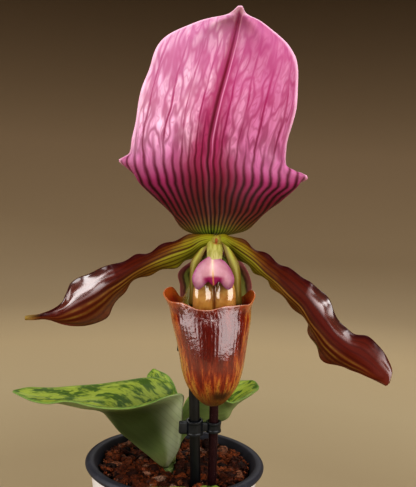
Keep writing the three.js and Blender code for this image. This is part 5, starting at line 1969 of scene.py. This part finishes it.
@dataclass(kw_only=True)
class BarkPiece(Piece):
    """The body of bark in the pot, its top uneven."""

    rings: int = 44
    sides: int = 150
    uneven: float = 1.1  # millimetres

    def shape(self) -> Shape:
        """Its one body."""
        level = BARK_LEVEL
        rings = np.concatenate([[0.001], np.linspace(1, inside_grow_pot(level) - GAP, self.rings)])
        profile = [[0, BARK_FLOOR], [inside_grow_pot(BARK_FLOOR) - GAP, BARK_FLOOR]]
        profile += [[r, level] for r in rings[::-1]]
        corners, faces = turned_body(profile, self.sides)
        x, y = corners[..., 0], corners[..., 1]
        to_wall = inside_grow_pot(level) - np.hypot(x, y)
        top = (corners[..., 2] > level - 0.1) * np.clip(to_wall / 2, 0.2, 1)
        rough = value_noise(x / 2.4 + 30, y / 2.4 + 30, 8) + 0.5 * value_noise(x + 30, y + 30, 9) - 0.9
        corners[..., 2] += self.uneven * rough * top
        return Shape().add(corners, faces, tone=0.12)


GROUND_STEP = 1.0  # millimetres, the cells that chips are spread over


@dataclass(kw_only=True)
class ChipsPiece(Piece):
    """Bark chips scattered over the top of the pot."""

    per_mm2: float
    sizes: tuple[float, float]
    outer: float
    clear: float  # kept free round the growths and the stake
    height: float
    kinds: int = 7
    detail: int = 5
    tilt: float = 0.6
    seed: int = 5

    def chip(self, seed: int) -> Shape:
        """One chip, 1 mm long: a flat slab, skewed, bent and broken at its ends.

        Args:
            seed: which chip is drawn.

        Returns:
            Its shape.
        """
        draw = np.random.default_rng(seed)
        n = self.detail
        long, wide, flat = 0.5, 0.5 * draw.uniform(0.45, 0.75), 0.5 * draw.uniform(0.24, 0.42)
        polar = np.linspace(0, np.pi, n + 2)[:, None]
        turn = turns(4 * n)[None]
        reach = np.sin(polar) ** 0.45
        x = long * reach * signed_power(np.cos(turn), 0.5)
        y = wide * reach * signed_power(np.sin(turn), 0.5)
        z = flat * signed_power(np.cos(polar), 0.6) * np.ones_like(turn)
        corners = np.stack([x, y, z], -1)
        noise = draw.uniform(-1, 1, corners.shape) * [0.07, 0.06, 0.05]
        noise[0], noise[-1] = noise[0, 0], noise[-1, 0]
        skew = 0.35 * draw.uniform(-1, 1)
        corners[..., 1] += skew * corners[..., 0] * 0.5
        corners = corners + noise
        corners[..., 2] += 0.12 * draw.uniform(-1, 1) * corners[..., 0] ** 2 * 4
        return Shape().add(corners, ring_faces(n + 2, 4 * n))

    def ground(self) -> Shape:
        """The ring of surface that they are spread over."""
        line = np.arange(-self.outer, self.outer + GROUND_STEP, GROUND_STEP)
        x, y = (v.reshape(-1) for v in np.meshgrid(line, line))
        (old_x, old_y), (old_wide, old_deep) = OLD_GROWTH
        near_old = np.hypot((x - old_x) / old_wide, (y - old_y) / old_deep)
        (new_x, new_y), (new_radius, _) = NEW_GROWTH
        near_new = np.hypot(x - new_x, y - new_y)
        near_stake = np.hypot(x - STAKE_AT_BARK[0], y - STAKE_AT_BARK[1])
        free = (np.hypot(x, y) < self.outer) & (near_old > 1 + self.clear / 5)
        free &= (near_new > new_radius + self.clear) & (near_stake > STAKE_RADIUS + self.clear)
        x, y = x[free], y[free]
        z = self.height + HEAP * np.clip((np.hypot(x, y) - HEAP_START) / HEAP_RUN, 0, 1)
        z += 0.5 * (value_noise(x / 5 + 30, y / 5 + 30, 12) - 0.5)
        half = GROUND_STEP / 2
        steps = ((-half, -half), (half, -half), (half, half), (-half, half))
        corners = np.moveaxis(np.array([[x + dx, y + dy, z] for dx, dy in steps]), -1, 0)
        return Shape().add(corners, np.arange(4 * len(x)).reshape(-1, 4))

    def model(self) -> bpy.types.Object:
        """The chips."""
        box = bpy.data.collections.new(self.name + "_kinds")
        materials = self.materials()
        for k in range(self.kinds):
            chip = self.chip(self.seed * 100 + k).build(f"{self.name}_{k}", materials)
            bpy.context.scene.collection.objects.unlink(chip)
            box.objects.link(chip)
        bpy.context.scene.collection.children.link(box)
        obj = self.ground().build(self.name, materials)
        run_tree(obj, chips_tree(), {
            "Density": self.per_mm2 / MM**2, "Chips": box, "Smallest": self.sizes[0],
            "Largest": self.sizes[1], "Tilt": self.tilt, "Seed": self.seed, "Material": materials[0],
        })
        for chip in list(box.objects):
            bpy.data.objects.remove(chip)
        bpy.data.collections.remove(box)
        return obj


# ---- stage, light and camera


@dataclass(frozen=True)
class Softbox:
    """A large soft light on the flower, placed by direction from it."""

    name: str
    azimuth: float  # degrees from straight ahead of the flower, positive to the viewer's right
    elevation: float
    distance: float  # metres
    size: tuple[float, float]
    watts: float

    def build(self, target: Vector) -> None:
        """Adds the light, turned to the target."""
        light = bpy.data.lights.new(self.name, "AREA")
        light.shape, light.size, light.size_y = "RECTANGLE", *self.size
        light.energy = self.watts
        turn, rise = math.radians(self.azimuth), math.radians(self.elevation)
        ahead = Vector((math.sin(turn) * math.cos(rise), -math.cos(turn) * math.cos(rise), math.sin(rise)))
        obj = bpy.data.objects.new(self.name, light)
        obj.location = target + ahead * self.distance
        obj.rotation_euler = ahead.to_track_quat("Z", "Y").to_euler()
        bpy.context.scene.collection.objects.link(obj)


SOFTBOXES = (
    Softbox("key_softbox", 47, 20, 0.85, (1.0, 0.85), 7.0),
    Softbox("fill_softbox", -66, 20, 0.8, (0.85, 0.8), 5.4),
    Softbox("top_softbox", 4, 60, 0.9, (0.6, 0.4), 3.4),
    Softbox("back_softbox", 168, 38, 1.1, (0.9, 0.7), 2.4),
)


SWEEP_START, SWEEP_RADIUS, SWEEP_TOP, SWEEP_SIDES = 0.95, 1.15, 1.5, 96  # metres, and corners round
LIGHT_TARGET = (0.011, -0.1, 0.165)
CAMERA_PLACE, CAMERA_DIP, CAMERA_ROLL = (0.010003, -0.291679, 0.182824), 2.6, 3.0  # metres, degrees
SENSOR_HEIGHT, LENS = 24.0, 24.0 * 640 / 487  # millimetres


def build_stage() -> None:
    """The floor swept up into a round backdrop, the lights and the dim room above."""
    bend = [
        (SWEEP_START + SWEEP_RADIUS * math.sin(a), SWEEP_RADIUS * (1 - math.cos(a)))
        for a in np.linspace(0, math.pi / 2, 20)
    ]
    corners, faces = turned_body([*bend, (bend[-1][0], SWEEP_TOP)], SWEEP_SIDES)
    mesh = bpy.data.meshes.new("paper_floor")
    disc = list(range(SWEEP_SIDES))
    mesh.from_pydata(corners.reshape(-1, 3).tolist(), [], [disc, *faces[:, ::-1].tolist()])
    mesh.polygons.foreach_set("use_smooth", [True] * len(mesh.polygons))
    mesh.materials.append(material_of(StudioPaper()))
    floor = bpy.data.objects.new("paper_floor", mesh)
    bpy.context.scene.collection.objects.link(floor)
    for softbox in SOFTBOXES:
        softbox.build(Vector(LIGHT_TARGET))
    world = bpy.data.worlds.new("studio_room")
    world.use_nodes = True
    world.node_tree.nodes.clear()
    room = add_node(world.node_tree, "Background", "A99274", 0.4)
    add_node(world.node_tree, "OutputWorld", room, out=None)
    bpy.context.scene.world = world
    view = bpy.context.scene.view_settings
    view.view_transform, view.look = "Standard", "High Contrast"


def build_camera() -> None:
    """The camera in front of the flower, tipped down a little and rolled a little."""
    dip, roll = math.radians(CAMERA_DIP), math.radians(CAMERA_ROLL)
    forward = Vector((0, math.cos(dip), -math.sin(dip)))
    right, up = Vector((1, 0, 0)), Vector((0, math.sin(dip), math.cos(dip)))
    rolled_right = right * math.cos(roll) + up * math.sin(roll)
    rolled_up = up * math.cos(roll) - right * math.sin(roll)
    camera = bpy.data.cameras.new("camera")
    camera.sensor_fit, camera.sensor_height, camera.lens = "VERTICAL", SENSOR_HEIGHT, LENS
    obj = bpy.data.objects.new("camera", camera)
    turn = Matrix((rolled_right, rolled_up, -forward)).transposed().to_4x4()
    obj.matrix_world = Matrix.Translation(CAMERA_PLACE) @ turn
    bpy.context.scene.collection.objects.link(obj)
    bpy.context.scene.camera = obj


# ---- the orchid


def cover_profile() -> list[list[float]]:
    """The white cover pot: a tapered cup with a rounded foot edge."""
    rim = POT_HEIGHT - LIP_HEIGHT - GAP
    top, foot, wall = COVER_RADIUS, FOOT_RADIUS, COVER_WALL
    return [
        [0, 0.5], [foot - 4, 0.5], [foot - 3.4, 0], [foot - 0.8, 0], [foot, 1.2],
        [top, rim - 0.8], [top - 0.7, rim], [top - wall + 0.5, rim], [top - wall, rim - 0.6],
        [foot - wall, 4], [foot - wall - 1.2, 3], [0, 3],
    ]


def grow_profile() -> list[list[float]]:
    """The grow pot: a cup that hangs by its rolled lip."""
    outer, inner, under = RIM_RADIUS, RIM_RADIUS - LIP_WIDTH, POT_HEIGHT - LIP_HEIGHT
    floor, height = BARK_FLOOR - GAP - POT_WALL, POT_HEIGHT
    foot, top = inside_grow_pot(floor) + POT_WALL, inside_grow_pot(under) + POT_WALL
    deck = floor + POT_WALL
    return [
        [0, floor], [foot - 0.8, floor], [foot, floor + 0.8], [top, under - 0.8], [top + 0.5, under],
        [outer - 1.1, under], [outer - 0.2, under + 0.9], [outer, height - 1.5], [outer - 0.9, height - 0.3],
        [outer - 2.2, height], [inner + 0.8, height - 0.3], [inner, height - 1.2],
        [inside_grow_pot(under - 1), under - 1], [inside_grow_pot(deck), deck], [0, deck],
    ]


def flower_pieces() -> list[Piece]:
    """The flower's own pieces."""
    petal = dict(slot="petal", rows=170, columns=64, thick=(1.2, 0.55))
    petal_relief = dict(
        ribs=4, rib_depth=0.015, rib_fade=0.6, sway=0.7, groove=0.35, groove_width=0.9, swell=0.25,
        swell_size=7, wave=0.6, wave_length=9,
    )
    claw = GreenSepalTissue(
        label="Claw tissue, satin olive", veins=0.45, ground="A0A048", ink="6E6426", edge="6E5A26",
        tip="8A6A2C",
    )
    mound = MoundPiece(name="column_mound", slot="column", finishes=(ColumnTissue(),))
    return [
        BladePiece(
            name="upper_sepal", slot="dorsal_sepal", nodes=("dorsal_sepal",), finishes=(SepalTissue(),),
            stations=DORSAL_SEPAL, rows=190, columns=176, thick=(1.0, 0.45),
            relief=Relief(
                spacing=3.1, crowd=1.7, rib_depth=0.08, rib_fade=0.1, sway=0.9, groove=0.5,
                groove_width=0.8, swell=0.3, swell_size=7, wave=0.3, wave_length=15, seed=2,
            ),
        ),
        BladePiece(
            name="lower_sepal", slot="synsepal", nodes=("synsepal",), finishes=(GreenSepalTissue(),),
            stations=LOWER_SEPAL, rows=120, columns=80, thick=(1.0, 0.45),
            front=Front.UNDER,
            relief=Relief(ribs=5, rib_depth=0.2, sway=0.4, groove=0.3, swell=0.3, wave=0.25, seed=31),
        ),
        mound,
        DownPiece(
            name="mound_down", slot="column", finishes=(Down(label="Plant down, dark", tint="3A2418"),),
            host=mound, per_mm2=2.2, length=1.1, width=0.045, seed=9,
        ),
        BladePiece(
            name="left_petal", nodes=("petal_left",), stations=LEFT_PETAL, front=Front.UNDER,
            finishes=(PetalTissue(),),
            relief=Relief(**petal_relief, seed=41), **petal,
        ),
        BladePiece(
            name="right_petal", nodes=("petal_right",), stations=RIGHT_PETAL,
            finishes=(PetalTissue(
                label="Petal tissue, varnished maroon, dark tip", tip="5E2414", tip_start=0.9,
                wax=((0.5, 0.0), (0.57, 1.0), (0.72, 1.0), (0.8, 0.1), (0.9, 0.1), (0.95, 0.9)),
                wax_edge=(-0.7, -0.4),
            ),),
            relief=Relief(**petal_relief, seed=51), **petal,
        ),
        PouchPiece(
            name="pouch", slot="lip", nodes=("lip",), finishes=(PouchTissue(), LobeTissue(), claw),
        ),
        ColumnPiece(
            name="column_and_shield", slot="column", nodes=("column",),
            finishes=(ShieldTissue(), ColumnTissue()),
        ),
    ]


def stem_pieces() -> list[Piece]:
    """Stem, ovary, bract, stake and clips."""
    scape = StemPiece(
        name="flower_stem", slot="scape", nodes=("scape",), finishes=(StemTissue(),), route=SCAPE_ROUTE,
        radii=[SCAPE_RADIUS, SCAPE_RADIUS], steps=240, sides=48,
    )
    ovary = StemPiece(
        name="ribbed_ovary", slot="ovary", nodes=("ovary",), route=OVARY_ROUTE, radii=OVARY_RADII, steps=140,
        finishes=(StemTissue(label="Ovary skin, downy", skin="4A1C22", other="6E5A38", ribs=3),),
        sides=72, ribs=3, rib_depth=0.12,
    )
    clip = Plastic(label="Clip, dark nylon", tint="1A1D22", scuffed="2C3036", roughness=0.36)
    pieces: list[Piece] = [
        scape,
        ovary,
        DownPiece(
            name="stem_down", slot="scape", finishes=(Down(),), host=scape, per_mm2=1.3, length=0.75, seed=3,
        ),
        DownPiece(
            name="ovary_down", slot="ovary", finishes=(Down(label="Plant down, pale"),), host=ovary,
            per_mm2=1.6, length=0.85, seed=4,
        ),
        BractPiece(
            name="sheath_bract", slot="bract", nodes=("bract",), finishes=(GreenSepalTissue(
                label="Bract tissue, satin", veins=6.0, ground="6E7A3A", ink="4A3A26", edge="5A2A34"),),
        ),
        StakePiece(
            name="support_stake", slot="stake", nodes=("stake",),
            finishes=(Plastic(label="Stake, black", tint="0E0F12", scuffed="202124", roughness=0.38),),
        ),
    ]
    for name, node, height in zip(("lower_clip", "upper_clip"), ("clip_lower", "clip_upper"), CLIP_HEIGHTS):
        pieces.append(ClipPiece(name=name, slot="clip", nodes=(node,), finishes=(clip,), height=height))
    return pieces


def foot_pieces() -> list[Piece]:
    """Pots, bark and the feet of the growths."""
    bark = PineBark()
    sheath = LeafTissue(label="Leaf base tissue, pale")
    return [
        TurnedPiece(
            name="white_cover_pot", slot="cover_pot", nodes=("cover_pot",), profile=cover_profile(),
            finishes=(Plastic(
                label="Cover pot, white gloss", tint="E9E7EA", scuffed="DAD7D6", roughness=0.3, coat=0.3),),
        ),
        GrowPotPiece(
            name="dark_grow_pot", slot="grow_pot", nodes=("grow_pot",), profile=grow_profile(), edge=0.5,
            finishes=(Plastic(label="Grow pot, dark grey", tint="33343D", scuffed="484954", roughness=0.5),),
        ),
        BarkPiece(name="bark_bed", slot="bark", nodes=("bark_mix",), finishes=(bark,)),
        ChipsPiece(
            name="bark_chips", slot="bark", finishes=(bark,), per_mm2=0.16, sizes=(3.5, 8.5), outer=31,
            clear=3.0, height=65.0,
        ),
        ChipsPiece(
            name="bark_crumbs", slot="bark", finishes=(bark,), per_mm2=0.5, sizes=(1.0, 3.2), outer=33.6,
            clear=1.2, height=64.8, detail=3, tilt=1.2, seed=6,
        ),
        CrownPiece(
            name="old_growth", slot="crown", nodes=("crown_old",), finishes=(sheath,),
            middle=OLD_GROWTH[0], half=OLD_GROWTH[1], foot=52, top=65,
        ),
        CrownPiece(
            name="new_growth_sheath", slot="crown", nodes=("crown_new",), finishes=(sheath,),
            middle=NEW_GROWTH[0], half=NEW_GROWTH[1], foot=54, top=65.2,
            bore=(SCAPE_RADIUS + GAP) / NEW_GROWTH[1][0],
        ),
    ]


def leaf_pieces() -> list[Piece]:
    """The five leaves."""
    finish = LeafTissue()
    # the left leaf's underside carries painted shade beside the keel and painted light along its first
    # margin
    shade_and_light_painted = LeafTissue(label="Leaf tissue, satin mottled, flushed below", painted_shadow=0.75, pale=0.9)
    fronts = {"leaf_right": Front.UNDER}
    return [
        BladePiece(
            name=node + "_blade", slot="leaf", nodes=(node,), stations=stations,
            finishes=(shade_and_light_painted if node == "leaf_left" else finish,),
            rows=150, columns=90, thick=(1.4, 0.65), front=fronts.get(node, Front.OVER), in_flower=False,
            relief=Relief(
                ribs=7, rib_depth=0.04, rib_fade=1.0, groove=0.45, groove_width=1.3, swell=0.3,
                swell_size=12, wave=0.3, wave_length=26, seed=60 + k,
            ),
        )
        for k, (node, stations) in enumerate(LEAVES.items())
    ]


def main() -> None:
    """Builds the orchid, its stage and its camera."""
    logging.basicConfig(level=logging.INFO, format="%(name)s %(message)s")
    for piece in flower_pieces() + stem_pieces() + foot_pieces() + leaf_pieces():
        piece.make()
    build_stage()
    build_camera()


if __name__ == "__main__":
    main()
